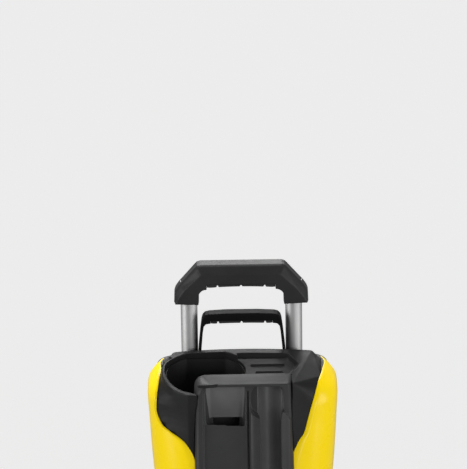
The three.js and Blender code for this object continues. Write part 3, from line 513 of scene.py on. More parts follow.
def resampled(outline, count, centre):
    """A convex outline as points at even angles about a centre inside it."""
    n, out = len(outline), []
    for k in range(count):
        a = 2 * pi * (k + 0.5) / count
        dx, dy = cos(a), sin(a)
        best = None
        for i in range(n):
            (x0, y0), (x1, y1) = outline[i], outline[(i + 1) % n]
            ex, ey = x1 - x0, y1 - y0
            out_x, out_y = ey, -ex
            facing = out_x * dx + out_y * dy
            if facing > 1e-12:
                t = (out_x * (x0 - centre[0]) + out_y * (y0 - centre[1])) / facing
                best = t if best is None else min(best, t)
        out.append((centre[0] + best * dx, centre[1] + best * dy))
    return out


def housing_ring(z):
    """The bottle well's outer wall: round, and drawn out to the left panel's edge and the front crease."""
    points = well_circle(housing_radius(z), 96, 71)
    if z < 446:
        inset = COVER_INSET + max(0.0, (z - 436) * 0.5)
        for extra in (7, 3, 0, -4, -9):
            turn = turn_at(left_edge(z) + extra, z)
            points.append(body_point(-turn, z, inset + (0 if extra > 0 else 0.02 * extra * extra))[:2])
    points += [(-83, crease_y(z)), (-60, crease_y(z) + 1.5)]
    return [(x, y, z) for x, y in resampled(around(points), 144, (WELL_X - 10, WELL_Y - 20))]


def top_cover():
    deck = prism(rounded([(-106, 80), (-113, 64), (-60, -12), (76, -12), (109, 80)], [3, 3, 2, 2, 3]),
                 424, 452)
    low = [under_edge(z) for z in (441, 436, 430, 425, 418, 410, 401, 392, 382, 372, 362, 348, 335, 300)]
    facet = hull([(109, 79.9, 451.9), (76, -44, 451), (122, 66, 443), (122, 50, 443), *low,
                  (73, -12, 451.9), (73, 79.9, 451.9), (73, -66, 372), (73, -70, 300), (100, 60, 425),
                  (73, 79.9, 425), (110, 78, 430.2), (73, -20, 300)])
    corner = hull([(-106, 79.8, 451.8), (-122, 66, 443), (-100, 60, 451.8), (-100, 79.8, 425),
                   (-118, 66, 425), (-124, 40, 440), (-110, 20, 440)])
    levels = (318, 326, 334, 342, 350, 358, 366, 374, 384, 393, 402, 411, 420, 428, 434, 439, 443.5, 447.5,
              450.5, 452.1)
    housing = loft([housing_ring(z) for z in levels])
    plate_edge = [body_point(i * 5, 430, COVER_INSET) for i in range(72)]
    infill = prism(around([(p[0], min(p[1], 79)) for p in plate_edge]), 423.8, 430.3)
    cover = join(deck, facet, corner, housing, infill)
    floor = rounded([(-8, 60), (68, 60), (82, 27), (69, -8), (20, -24), (-8, 0)], [1, 5, 6, 1, 1, 1])
    rim = rounded([(-8, 64.5), (71.6, 64.5), (87.6, 25), (72.5, -12), (20, -28), (-8, 0)], [1, 5, 6, 1, 1, 1])
    shelf = loft([[(x, y, 446.2) for x, y in floor], [(x, y, 452.6) for x, y in rim],
                  [(x, y, 462) for x, y in rim]])
    for y, a, b in ((33.6, 13, 64.5), (7.6, 20.5, 61.5)):
        cut(shelf, prism(rounded([(a, y - 1.4), (b, y - 1.4), (b, y + 1.4), (a, y + 1.4)], 1.1), 444, 448.6))
    cut(cover, shelf)
    hole = prism(well_circle(WELL_R, 96, 70), 300, 480)
    cut(cover, hole, well_dip(), panel_room(-1), panel_room(1), holster_block(0.5), before_holster())
    hollow = hull([(78, -2, 446), (78, 74, 446), (100, 72, 444), (108, 40, 436), (96, -20, 408),
                   (90, -34, 372), (84, -36, 320), (84, -2, 320), (84, 70, 320), (104, 60, 418)])
    cut(cover, hollow, box(12, 86, -8, 74, 310, 440))
    moulded(cover, 1.0, 5)
    for v in cover.data.vertices:
        x, y, z = v.co / MM
        v.co.z += (1.7 - 4.4 * (x / 109) ** 2) * ease((z - 440) / 9) * ease((y - 25) / 50) * MM
    return cover


def well_dip():
    """Lowers the front of the well's rim in a broad curve."""
    rim = [(-160, 436.6), (-46, 436.6), (-36, 437.8), (-24, 440.6), (-12, 444.4), (0, 448.2), (10, 451),
           (20, 453), (20, 500), (-160, 500)]
    return prism(rim, -180, -68.7, "x")


def lean(z):
    """The holster's front plane."""
    return -48 + (446 - z) * -0.3017


def at(x, z, depth):
    """A point at a depth behind the holster's front plane."""
    return (x, lean(z) + depth, z)


def slanted(points, near, far):
    """An (x, z) outline carried back from the leaning front plane."""
    return loft([[at(x, z, d) for x, z in points] for d in (near, far)], smooth=False)


def holster_block(grow=0.0):
    """The holster's body: its sides flare back from the frame, and its top is arched."""
    rings = []
    for depth, flare, top, arc in ((0, -1.5, 449.8, 26), (0.5, -0.5, 450.6, 26), (1.6, 0, 451.2, 26),
                                   (3.2, 2.6, 451.6, 25), (6, 4.6, 452, 24), (13, 6.6, 452.6, 22),
                                   (24, 8.6, 453.2, 20), (None, 9.2, 453.4, 20)):
        f, top = flare + grow, top + grow
        outline = rounded([(HOLSTER_L - f, HOLSTER_LOW - grow), (HOLSTER_R + f, HOLSTER_LOW - grow),
                           (HOLSTER_R + f * 0.5, top), (60, top + 0.4), (HOLSTER_L - f * 0.5, top)],
                          [0.1, 0.1, arc, 1, arc], 12)
        shift = -grow if depth == 0 else 0
        rings.append([(x, HOLSTER_BACK + grow if depth is None else lean(min(z, 449)) + depth + shift, z)
                      for x, z in outline])
    return loft(rings, smooth=False)


def before_holster():
    """The air in front of the holster."""
    left, right = HOLSTER_L - 1, HOLSTER_R + 1
    return slanted([(left, 280), (right, 280), (right, 448), (left, 448)], -120, 3)


def gun_pocket():
    """What is cut away for the gun: the mouth, the tapering inside and the muzzle's hole."""
    outline = rounded([(-59.4, 447), (4.2, 447), (4.4, 424), (2.8, 391), (1.2, 388.6), (-55.8, 391.6),
                       (-57, 394), (-59, 424)], [11, 3, 0, 2, 3, 1, 1, 0], 5)
    mouth = slanted(outline, -9, 3.6)
    back = -40.0
    inside = hull([(-58, -45, 446.6), (4, -45, 446.6), at(-56.6, 394, 3.5), at(2.8, 391, 3.5),
                   at(-54, 352, 8), at(0, 352, 8), (-50, back, 446.6), (0, back, 446.6), (-49.4, back, 398),
                   (-1.6, back, 398), (-48, -46, 352), (-2, -46, 352)])
    muzzle_hole = hull([(-46, -50, 395), (-5, -50, 395), (-46, -20, 391), (-5, -20, 391), (-44, -50, 354),
                        (-7, -50, 354), (-44, -22, 360), (-7, -22, 360)])
    return mouth, inside, muzzle_hole


def lance_bulge():
    """The rounded wall round the lance's channel, with its curled upper edge."""
    xs = [9.6 + 64 * k / 32 for k in range(33)]
    bulge = loft([[at(x, z, 4 - 11.5 * max(0.0, 1 - abs((x - 41.6) / 32.1) ** 2.3) ** (1 / 2.3)) for x in xs]
                  + [at(x, z, 12) for x in reversed(xs)] for z in (300.1, 360, 404, 447.3)], smooth=False)
    above = [(0, 440), (9, 426), (10.5, 414), (13, 409), (19, 405.5), (25, 403), (30, 400), (52, 400),
             (57, 404), (60, 412), (62, 413), (65.5, 409), (69, 403), (72, 399.5), (80, 398), (80, 470),
             (0, 470)]
    return cut(bulge, slanted(rounded(above, [0, 3, 3, 3, 3, 3, 3, 3, 2, 2, 2, 3, 3, 2, 0, 0, 0]), -40, 40))


def holster():
    """A framed face with the gun's pocket on the left and the lance's channel on the right."""
    soft = rounded([(-60.2, 280), (62.6, 280), (62.6, 447.6), (-60.2, 447.6)], [0, 0, 13, 13], 8)
    recess = loft([[at(x * wide, z, d) for x, z in soft] for wide, d in ((1.012, -8), (1.012, 0.2), (1, 3))],
                  smooth=False)
    block = cut(holster_block(), recess, *gun_pocket())
    join(block, lance_bulge())
    turns = np.linspace(0, 2 * pi, 65)[:-1]
    bore = loft([[(BORE_X + BORE_R * cos(a), lean(z) + BORE_DEEP + BORE_R * sin(a), z) for a in turns]
                 for z in (280, 340, 380, 420, 447.4)], smooth=False)
    lips = [(26.4, 280), (26.4, 399), (24.6, 404), (18.4, 407), (12.8, 411.5), (10.8, 418), (10.2, 428),
            (12.4, 438), (18, 446.9), (52, 446.9), (58.6, 443), (61.4, 436), (61, 416), (58.6, 408),
            (57.4, 400), (57.4, 280)]
    scoop = slanted(rounded(lips, [0, 4, 3, 3, 3, 4, 4, 5, 5, 6, 5, 4, 4, 4, 3, 0], 4), -30, 10)
    groove = slanted([(6.4, 280), (9, 280), (9, 440), (6.4, 440)], -12, 7)
    for x0, x1, high, far in ((-62, 19.6, 345, 11), (22, 68, 428, 33.5)):
        cut(block, hull([(x, y, z) for x in (x0, x1) for z in (304, high) for y in (lean(z) + far, -5)]))
    cut(block, bore, scoop, groove)
    return moulded(block, 0.65, 3)


# the top cover takes the darker black, whose darkness is painted shade
finish_piece(top_cover(), "top_cover_skin", "deck", "machine", "black_plastic", "top_cover")
panel = finish_piece(holster(), "holster_skin", "black", "machine", "black_plastic", "holster_panel")


def grain_and_sheen_face(c, n):
    """The pocket's back wall and the inside of the lance's bore: real grain, with a lighter grey as painted
    sheen.
    """
    pocket = n.y < -0.3 and -56 < c.x < 4 and -44 < c.y < -36 and c.z > 394
    near = math.hypot(c.x - BORE_X, c.y - lean(c.z) - BORE_DEEP) < BORE_R + 0.9
    bore = near and c.y > lean(c.z) + 5 and c.z < 447
    return pocket or bore


# the pocket's back wall and the bore take the grained black, whose lighter grey is painted sheen
panel.data.materials.append(MAT["grain"])
for p in panel.data.polygons:
    if grain_and_sheen_face(p.center / MM, p.normal):
        p.material_index = 1


def bottle_well():
    outer = well_circle(WELL_R - 0.5, 120, 69.4)
    inner = well_circle(WELL_R - 2.5, 120, 67)
    wall = loft([[(x, y, z) for x, y in outer] for z in (252, 446)], smooth=False)
    hollow = loft([[(x, y, z) for x, y in inner] for z in (256, 480)], smooth=False)
    floor_hole = rod("z", 6, 240, 270, -86, -16)
    rim = [(-100, 426), (-40, 426), (0, 438), (30, 443), (80, 443), (80, 500), (-100, 500)]
    cut(wall, hollow, floor_hole, prism(rim, -180, 40, "x"), holster_block(0.8))
    return bevelled(wall, 0.6, 2)


finish_piece(bottle_well(), "bottle_well_skin", "dark", "machine", "grey_plastic", "bottle_well")


# ---- handles ----
def arch(outer, inner_half, inner_top, crown, foot):
    """A closed (x, z) outline of a bow: outer holds its right half, and the hand opening is below."""
    under = [(inner_half, foot)]
    for k in range(9):
        a = pi / 2 * k / 8
        under.append((inner_half - 12 + 12 * cos(a), inner_top - 12 + 12 * sin(a)))
    span = inner_half - 12
    for k in range(1, 9):
        x = span * (1 - k / 8)
        under.append((x, inner_top + crown * (1 - (x / span) ** 2)))
    mirrored = [(-x, z) for x, z in outer]
    return [*outer, *reversed(mirrored), *[(-x, z) for x, z in under], *reversed(under[:-1])]


def grip_outline(points, inset):
    outer = [(x, GRIP_BASE + z) for x, z in points]
    return arch(outer, 65.3 + inset, GRIP_BASE + 26 - inset, 3.4, GRIP_BASE)


def handle_grip():
    full = [(103.8, 0), (103.2, 15), (101.2, 21), (96.6, 28), (71, 57.8), (67.6, 61.2), (63, 62.7)]
    mid = [(103.2, 0.6), (102.2, 14.4), (99.8, 19.8), (95.2, 26.4), (69.6, 55.6), (66.4, 59), (62.2, 60.6)]
    face = [(102.2, 1.6), (97.2, 10.4), (92.8, 17), (87.4, 24.6), (64, 47.8), (61, 50.6), (57.2, 51.6)]
    deep = TUBE_Y - 22
    rings = []
    for points, inset, y in ((face, 1.4, deep), (mid, 0.4, deep + 9), (full, 0, deep + 13),
                             (full, 0, deep + 31), (mid, 0.4, deep + 35), (face, 1.4, deep + 44)):
        rings.append([(x, y, z) for x, z in grip_outline(points, inset * 0.5)])
    grip = loft(rings, smooth=False)
    pocket = join(box(-53, 53, TUBE_Y - 40, TUBE_Y + 40, GRIP_BASE + 4, GRIP_BASE + 33.2),
                  box(-53, 53, TUBE_Y - 20, TUBE_Y + 20, GRIP_BASE + 32, GRIP_BASE + 37.2))
    bores = [rod("z", TUBE_R + 0.2, GRIP_BASE - 6, GRIP_BASE + 30, x, TUBE_Y) for x in TUBES]
    cut(grip, pocket, *bores)
    return moulded(grip, 0.85, 5)


def finger_pad(half_length, y, step, half_depth, crown):
    """A soft pad that shows below a handle's faces, with three notches across its underside."""
    xs = np.linspace(-half_length, half_length, 321)
    wide, low = half_depth + 0.6, step - 6.8
    under = []
    for x in xs:
        near = min(abs(x - k * NOTCH_PITCH) for k in (-1, 0, 1))
        notch = 4.2 * math.exp(-((near / 1.25) ** 2))
        end = 0.7 * (1 - ease((half_length - abs(x)) / 6))
        under.append(low + crown * (1 - (x / half_length) ** 2) + notch + end)
    half = [(wide, 4.4, step - 0.4), (wide - 0.4, 2.9, step - 0.3), (wide - 0.8, 2.1, step + 3.4),
            (wide - 2, 1.1, step + 3.4), (wide - 4, 0.3, step + 3.4), (wide - 6, 0, step + 3.4)]
    rings = []
    for depth, lift, top in [(-d, lift, top) for d, lift, top in half] + half[::-1]:
        rings.append([(x, y + depth, min(u + lift, top - 0.4)) for x, u in zip(xs, under)]
                     + [(x, y + depth, top) for x in reversed(xs)])
    return shade(loft(rings), 50)


finish_piece(handle_grip(), "handle_grip_skin", "grip", "handle", "black_plastic", "handle_grip")
finish_piece(finger_pad(52.8, TUBE_Y, GRIP_BASE + 33.2, 20, 2.0), "handle_pad", "rubber", "handle",
             "rubber", "handle_insert")


def carry_handle():
    y, foot = 98.0, REAR_DECK_TOP + 0.5
    outer = [(69.2, foot), (66.6, 455), (64.0, 480), (61.8, 497), (60, 502.6), (56.4, 506.4), (50, 508),
             (24, 509.4)]
    inner = [(64.5, foot), (62.2, 455), (60.2, 478), (58.6, 487.4), (55, 491.4), (49, 492.2)]
    outline = [*outer, *[(-x, z) for x, z in reversed(outer)], *[(-x, z) for x, z in inner],
               *[(x, z) for x, z in reversed(inner)]]
    shrunk = []
    for x, z in outline:
        lift = -1.5 if z > 495 else (0.8 if 485 < z <= 495 and abs(x) < 59 else 0)
        shrunk.append((x - math.copysign(0.5 if abs(x) > 50 and (x, z) in outer else 0, x), z + lift))
    bow = loft([[(x, y - 10.5, z) for x, z in shrunk], [(x, y - 8.2, z) for x, z in outline],
                [(x, y + 8.2, z) for x, z in outline], [(x, y + 10.5, z) for x, z in shrunk]], smooth=False)
    for x in TUBES:
        collar = [(TUBE_R + 0.5, 0), (19, 0), (19, 3.4), (17.6, 5), (TUBE_R + 0.5, 5)]
        join(bow, lathe(collar, "z", (x, TUBE_Y, foot)))
        cut(bow, rod("z", TUBE_R + 0.5, 400, 470, x, TUBE_Y))
    cut(bow, join(box(-48, 48, y - 30, y + 30, 478, 497), box(-48, 48, y - 8, y + 8, 496, 501)))
    return moulded(bow, 0.7, 2)


# the carry handle's darker black is painted shade
finish_piece(carry_handle(), "carry_handle_skin", "matt", "machine", "black_plastic", "carry_handle")
finish_piece(finger_pad(47.8, 98.0, 497, 8, 1.0), "carry_handle_pad", "rubber", "machine", "rubber",
             "carry_handle_insert")

for x, side in ((-TUBE_X, "left"), (TUBE_X, "right")):
    r, top, low = TUBE_R, GRIP_BASE + 32, 21.0
    tube = lathe([(r - 1.4, low), (r - 0.3, low), (r, low + 0.5), (r, top - 0.5), (r - 0.3, top),
                  (r - 1.4, top)], "z", (x, TUBE_Y, 0), 96)
    finish_piece(tube, side + "_tube_skin", "tube", "handle", "aluminium_tube", side + "_tube")


# ---- lower body ----
def front_band(low, high, outer, inner, half=None, rows=64, cols=72):
    """A strip of the front between two depths below the body's surface."""

    def grid(inset):
        out = []
        for z in np.linspace(low, high, rows):
            limit = turn_at(edge_low(z) + 8 if half is None else half, z)
            out.append([body_point(-limit + 2 * limit * j / cols, z, inset) for j in range(cols + 1)])
        return out

    return shell(grid(outer), grid(inner))


def front_cover():
    body = front_band(62, 295.3, FRONT_SKIN, FRONT_SKIN + WALL)
    seat = lathe([(7, 8), (7, -1.5), (24.8, -1.5), (25.6, -4), (28, -4), (29, -3), (29, 8)],
                 "y", (0, front_y(KNOB_Z), KNOB_Z), 96)
    collar = lathe([(19.2, 9), (19.2, 1), (20.2, 0), (22.6, 0), (24, 1.6), (24, 9)],
                   "y", (0, front_y(OUTLET_Z), OUTLET_Z), 96)
    join(body, seat, collar)
    for k in range(5):
        z = 250 + 8 * k
        cut(body, front_band(z - 1.5, z + 1.5, -10, FRONT_SKIN + 1.5, 44 - 3 * k, 3, 40))
    cut(body, front_band(150, 151.6, -10, FRONT_SKIN + 1.0, 74, 3, 40),
        front_band(76, 77.6, -10, FRONT_SKIN + 1.0, 74, 3, 40))
    cut(body, rod("y", 7, -160, -60, 0, KNOB_Z), rod("y", 19, -180, -100, 0, OUTLET_Z),
        box(-9.6, 9.6, -180, -100, OUTLET_Z, OUTLET_Z + 26.6))
    return moulded(body, 0.95, 3)


def base_ring(z, inset):
    """The base's outline at a height: its toe slopes back above the tray's floor."""
    front = -208.5 + (max(z, 34) - 34) / 26 * 54.5
    ring = []
    for i in range(180):
        c, s = cos(2 * pi * i / 180), sin(2 * pi * i / 180)
        reach = -front - inset if s < 0 else 149 - inset
        ring.append((math.copysign(abs(c) ** (2 / 4.5), c) * (111 - inset),
                     math.copysign(abs(s) ** (2 / 4.5), s) * reach, z))
    return ring


def base_frame():
    levels = [(8, 6), (9, 3), (12, 0.4), (13.5, 0), (27.4, 0), (28, 1.1), (30, 1.1), (30.6, 0), (34, 0),
              (46, 0), (58.4, 0), (60, 1.2)]
    outside = loft([base_ring(z, inset) for z, inset in levels])
    tray = cut(outside, loft([base_ring(16, 5), base_ring(34, 4), base_ring(60.5, 4)]))
    tower = cut(box(-111, 111, 124, 149, 40, 94), box(-98, 98, 120, 145, 16, 95),
                box(-107, -98, 128, 145, 90, 95))
    sockets = [cut(rod("z", 20, 14, 52, x, TUBE_Y), rod("z", 16.2, 10, 60, x, TUBE_Y)) for x in TUBES]
    posts = [rod("z", 7, 14, 27, x, y, 24) for x, y in ((-50, -40), (50, -40), (-50, 64), (50, 64))]
    ribs = [box(x - 1.5, x + 1.5, -185, -70, 14, 30) for x in (-60, -20, 20, 60)]
    join(tray, tower, *sockets, *posts, *ribs, box(-90, 90, -150, -147, 14, 32))
    cut(tray, rod("x", 5.4, -120, 120, WHEEL_Y, WHEEL_R))
    return moulded(tray, 1.4, 2)


def rear_cover():
    """The back: a shallow panel is pressed into it, and louvres let the motor's heat out."""
    def skin(z, turn, base):
        side = ease((40 - abs(turn - 180)) / 2.2)
        tall = ease((z - 146) / 5) * ease((348 - z) / 5)
        return base + 1.7 * side * tall

    def grid(base):
        out = []
        for z in np.linspace(96, 419, 120):
            t = rear_seam(z) + 0.8
            turns = [t + (360 - 2 * t) * j / 150 for j in range(151)]
            out.append([body_point(a, z, skin(z, a, base)) for a in turns])
        return out

    body = shell(grid(0), grid(WALL))
    y = rear_y(SOCKET_Z)
    for x, r in ((INLET_X, 20), (GLAND_X, 14)):
        boss = [(0, -2.5), (r + 2, -2.5), (r + 2, 0), (r + 1, 0.8), (0, 0.8)]
        join(body, lathe(boss, "y", (x, y, SOCKET_Z)))
    for k in range(5):
        z = 186 + 14 * k
        hood = hull([(x, rear_y(z) + dy, z + dz) for x in (-36, 36)
                     for dy, dz in ((-2.2, 8.4), (-2.2, 1), (1.6, 7.2), (1.6, 5.4))])
        join(body, hood)
        cut(body, hull([(x, rear_y(z) + dy, z + dz) for x in (-33, 33)
                        for dy, dz in ((-8, 6.2), (-8, 2.4), (3, 4.4), (3, 0.2))]))
    cut(body, rod("y", 14, 100, 170, INLET_X, SOCKET_Z), rod("y", 8.4, 100, 170, GLAND_X, SOCKET_Z),
        rod("y", 6.4, 100, 170, 0, HOOK_Z))
    return moulded(body, 0.95, 3)


def rear_deck():
    outline = [body_point(238 - 116 * i / 90, 421, 0.6)[:2] for i in range(91)] + [(128, 80.8), (-128, 80.8)]
    plate = prism(outline, REAR_DECK_TOP - 4, REAR_DECK_TOP)
    cut(plate, *[rod("z", 16.1, 400, 440, x, TUBE_Y) for x in TUBES], panel_room(-1), panel_room(1))
    return bevelled(plate, 0.5, 2)


for piece, node in ((front_cover, "lower_front_cover"), (base_frame, "base_frame"),
                    (rear_cover, "rear_cover"), (rear_deck, "rear_deck")):
    finish_piece(piece(), piece.__name__ + "_skin", "black", "machine", "black_plastic", node)


# ---- wheels ----
def wheel_hub(side):
    """A dished disc with five windows, a rib on each spoke and a flanged rim."""
    profile = [(5.4, 112), (14.6, 112), (16, 113.4), (16, 129.6), (17.6, 130.4), (51, 132), (54.4, 122.4),
               (56, 121), (59.4, 121), (60, 122), (60, 147), (59, 148), (57, 148), (56, 147), (53.6, 138.6),
               (52, 137.4), (19, 137.4), (17.4, 139), (17, 143.2), (16.2, 144), (5.4, 144)]
    hub = lathe([(r, side * x) for r, x in profile], "x", (0, WHEEL_Y, WHEEL_R), 120)
    for k in range(5):
        a = 2 * pi * k / 5
        window = []
        for r, spread in ((23.5, 19), (46.5, 24.5)):
            row = [a + radians(spread * t) for t in np.linspace(-1, 1, 13)]
            window.append([(WHEEL_Y + r * cos(b), WHEEL_R + r * sin(b)) for b in row])
        outline = rounded(window[0] + window[1][::-1],
                          [3.5 if i in (0, 12, 13, 25) else 0 for i in range(26)], 5)
        cut(hub, prism(outline, side * 105, side * 160, "x"))
        b = a + pi / 5
        u, v = Vector((cos(b), sin(b))), Vector((-sin(b), cos(b)))
        rib = []
        for x, w in ((side * 134, 3.2), (side * 140.6, 1.4)):
            for r in (12, 54):
                for q in (-w, w):
                    p = u * r + v * q
                    rib.append((x, WHEEL_Y + p.x, WHEEL_R + p.y))
        join(hub, hull(rib))
    cut(hub, rod("x", 5.4, side * 100, side * 160, WHEEL_Y, WHEEL_R))
    return moulded(hub, 0.75, 2)


def tyre(side):
    """Tread blocks between cross grooves, with a plain band round each shoulder."""
    profile = [(60.5, 119), (64, 117.6), (68, 117.1), (71, 118), (73.2, 119.8), (74.4, 122.4), (75, 125),
               (75, 128.4), (73.4, 129), (73.4, 130), (75, 130.6), (75, 137.4), (73.4, 138), (73.4, 139),
               (75, 139.6), (75, 143), (74.4, 145.8), (73.2, 148.2), (71, 150), (68, 150.9), (64, 150.6),
               (60.5, 149.4)]
    blocks, steps = 48, 8
    rings = []
    for k in range(blocks * steps):
        phase = (k % steps) / steps
        ring = []
        for r, x in profile:
            turn = 2 * pi * (k + (1.6 if x > 134 else 0)) / (blocks * steps)
            deep = 1.5 if phase < 0.25 and r > 73.9 else 0.0
            ring.append((side * x, WHEEL_Y + (r - deep) * cos(turn), WHEEL_R + (r - deep) * sin(turn)))
        rings.append(ring)
    return shade(loft(rings, closed=True), 32)


def wheel_cap(side):
    profile = [(0, 149.3), (17.3, 149.3), (17.3, 144.5), (19.1, 144.5), (19.5, 145), (19.3, 149.6),
               (18.4, 150.8), (16.8, 151.4), (15.6, 151.4), (15.2, 150.8), (14.2, 150.8), (13.6, 151.8),
               (9, 152.6), (4, 152.95), (0, 153)]
    return lathe([(r, side * x) for r, x in profile], "x", (0, WHEEL_Y, WHEEL_R), 72)


for side, name in ((-1, "left"), (1, "right")):
    body = name + "_wheel_set"
    finish_piece(wheel_hub(side), name + "_hub_skin", "black", body, "black_plastic", name + "_wheel")
    finish_piece(tyre(side), name + "_tyre_skin", "tyre", body, "tyre", name + "_tyre")
    finish_piece(wheel_cap(side), name + "_cap_skin", "grey", body, "grey_plastic", name + "_wheel_cap")


# ---- controls and connectors ----
def switch_knob():
    """A fluted dial with a raised grip across it."""
    y0 = front_y(KNOB_Z) - 5
    rings, flutes = [], 20
    for r, y in ((22.6, y0), (24, y0 - 0.8), (24, y0 - 6.6), (23, y0 - 7.8), (21, y0 - 8)):
        ring = []
        for k in range(240):
            a = 2 * pi * k / 240
            q = r - 0.9 * max(0.0, cos(a * flutes)) ** 3 * (1 if r > 22.8 else 0)
            ring.append((q * cos(a), y, KNOB_Z + q * sin(a)))
        rings.append(ring)
    dial = loft(rings)
    levels = ((6, y0 - 7, 22.4), (5.2, y0 - 17, 21.6), (3.6, y0 - 19.6, 19))
    bar = hull([(x, y, KNOB_Z + z) for w, y, h in levels for x in (-w, w) for z in (-h, h)])
    join(dial, bar, rod("y", 5, -82, y0 - 2, 0, KNOB_Z))
    return moulded(dial, 0.55, 3)


def outlet_socket():
    y0 = front_y(OUTLET_Z)
    body = lathe([(7, -19), (8, -20), (11, -20), (12, -19), (12, -17), (11, -16.2), (11, -14.6), (12, -13.8),
                  (12, -10), (17.4, -10), (18.5, -9), (18.5, -2), (17.6, -1.2), (17.6, 0.4), (18.5, 1.2),
                  (18.5, 14), (12, 14), (12, 39.5), (7, 39.5)], "y", (0, y0, OUTLET_Z), 72)
    join(body, bevelled(box(-9, 9, y0 - 6, y0 + 12, OUTLET_Z + 10, OUTLET_Z + 26), 1.2))
    cut(body, rod("y", 7, y0 - 25, y0 + 30, 0, OUTLET_Z),
        box(-7.4, 7.4, y0 - 10, y0 + 6, OUTLET_Z + 16, OUTLET_Z + 30))
    return shade(body, 35)


def outlet_button():
    y0 = front_y(OUTLET_Z)
    key = bevelled(box(-7, 7, y0 - 5.6, y0 + 5.4, OUTLET_Z + 20, OUTLET_Z + 29), 1.0)
    join(key, bevelled(box(-5, 5, y0 - 8, y0 - 5, OUTLET_Z + 22, OUTLET_Z + 28), 0.7))
    for k in range(3):
        cut(key, rod("x", 0.7, -8, 8, y0 - 2.4 + 2.6 * k, OUTLET_Z + 29.2, 16))
    return shade(key, 35)


def water_inlet():
    y0 = rear_y(SOCKET_Z)
    profile = [(7.6, -30), (10, -30), (10, -22), (13, -22), (13, 1), (17, 1), (18, 1.8), (18, 3.4), (17.2, 4),
               (13, 4), (13, 13), (12, 14), (10.4, 14)]
    for k in range(4):
        y = 14.6 + 2.3 * k
        profile += [(9, y), (10, y + 0.8), (10, y + 1.1), (9, y + 1.9)]
    body = lathe([*profile, (8.6, 24), (7.6, 24)], "y", (INLET_X, y0, SOCKET_Z), 72)
    cut(body, cut(rod("y", 8.2, y0 - 32, y0 - 16, INLET_X, SOCKET_Z),
                  rod("y", 7.7, y0 - 33, y0 - 15, INLET_X, SOCKET_Z)))
    return shade(body, 35)


def cable_gland():
    y0 = rear_y(SOCKET_Z)
    profile = [(4, -12), (8, -12), (8, 4), (7.4, 6)]
    for k in range(5):
        y, r = 7 + 3 * k, 7.3 - 0.38 * k
        profile += [(r, y), (r, y + 1.6), (r - 1.1, y + 1.9), (r - 1.1, y + 2.7)]
    body = lathe([*profile, (5.4, 22), (4, 22)], "y", (GLAND_X, y0, SOCKET_Z), 60)
    nut = cut(rod("y", 11, y0 + 0.6, y0 + 6, GLAND_X, SOCKET_Z, 6),
              rod("y", 5, y0 - 2, y0 + 9, GLAND_X, SOCKET_Z))
    join(body, bevelled(nut, 0.5, 2))
    return shade(body, 35)


def cable_hook():
    y0 = rear_y(HOOK_Z)
    disc = lathe([(0, -10), (6, -10), (6, 0.6), (13.2, 0.6), (14, 1.4), (14, 5), (13, 6), (0, 6)],
                 "y", (0, y0, HOOK_Z), 72)
    side = rounded([(y0 + 4, HOOK_Z - 4), (y0 + 30, HOOK_Z - 4), (y0 + 30, HOOK_Z + 30),
                    (y0 + 25, HOOK_Z + 30), (y0 + 25, HOOK_Z + 4), (y0 + 4, HOOK_Z + 4)],
                   [0, 8, 2, 2, 5, 0], 8)
    join(disc, prism(side, -9, 9, "x"))
    cut(disc, *[box(x - 1.2, x + 1.2, y0 + 31 - 1.7, y0 + 32, HOOK_Z + 4, HOOK_Z + 24)
                for x in (-4.5, 0, 4.5)])
    return moulded(disc, 0.55, 3)


def lance_rest():
    """Two tapered cups on a web, each with a rolled lip."""
    web = box(24, 62, -174, -158, 60.4, 76)
    for x in (24, 62):
        cup = [(0, 60.4), (14.2, 60.4), (15, 61.2), (15.4, 72), (15.9, 83.4), (16, 84.6), (15.2, 86),
               (13, 86), (0, 86)]
        well = [(0, 64), (10.4, 64), (11.3, 65), (11.3, 82.5), (13, 86.4), (0, 86.4)]
        join(web, lathe(cup, "z", (x, -166, 0), 72))
        cut(web, lathe(well, "z", (x, -166, 0), 72))
    return moulded(web, 0.55, 3)


def rubber_foot(x):
    profile = [(0, 0), (5, 0), (5.5, 0.8), (8, 0.8), (8.5, 0), (11, 0), (11.5, 0.8), (13, 0.8), (13.5, 0),
               (15, 0), (16.6, 0.8), (17, 2), (17, 6.6), (16.2, 7.5), (0, 7.5)]
    return lathe(profile, "z", (x, -178, 0), 72)


for piece, material, body, slot in (
        (switch_knob, "yellow", "switch", "yellow_plastic"), (outlet_socket, "brass", "machine", "brass"),
        (outlet_button, "grey", "release_button", "grey_plastic"),
        (water_inlet, "grey", "machine", "black_plastic"), (cable_gland, "grey", "machine", "black_plastic"),
        (cable_hook, "grey", "hook", "black_plastic"), (lance_rest, "grey", "machine", "black_plastic")):
    finish_piece(piece(), piece.__name__ + "_skin", material, body, slot, piece.__name__)
for x, name in ((-78, "left"), (78, "right")):
    finish_piece(rubber_foot(x), name + "_foot_skin", "rubber", "machine", "rubber", name + "_foot")


# ---- pieces that keep their CAD mesh ----
KEPT = {
    "grey": ["motor_end_cap", "switch_box", "left_guide_tube", "right_guide_tube"],
    "cast": ["motor_flange", "motor_housing"],
    "steel": ["stator_core", "rotor", "upper_bearing", "lower_bearing", "swash_plate", "axle",
              "piston_1", "piston_2", "piston_3", "capacitor"],
    "brass": ["pump_housing", "pump_head"],
    "copper": ["upper_winding", "lower_winding"],
    "rubber": ["outlet_pipe", "inlet_hose", "detergent_hose", "left_tube_end", "right_tube_end"],
    "mesh": ["inlet_filter"],
}
kept = {node: key for key, nodes in KEPT.items() for node in nodes}
for node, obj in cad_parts.items():
    obj.data.materials.clear()
    obj.data.materials.append(MAT[kept.get(node, "black")])


# ---- floor, light and camera ----
scene = bpy.context.scene
bpy.ops.mesh.primitive_plane_add(size=60, location=(0, 0, -0.0005))
floor = bpy.context.object
floor.name = "studio_floor"
paper = Shader("studio_paper", (0.8, 0.8, 0.8), 0.9).cloud(0.4, 0.004, 0.01).put("Specular IOR Level", 0.0)
paper.put("Emission Color", (1, 1, 1, 1)).put("Emission Strength", FLOOR_GLOW)
floor.data.materials.append(paper.material)
floor.visible_glossy = floor.visible_diffuse = False


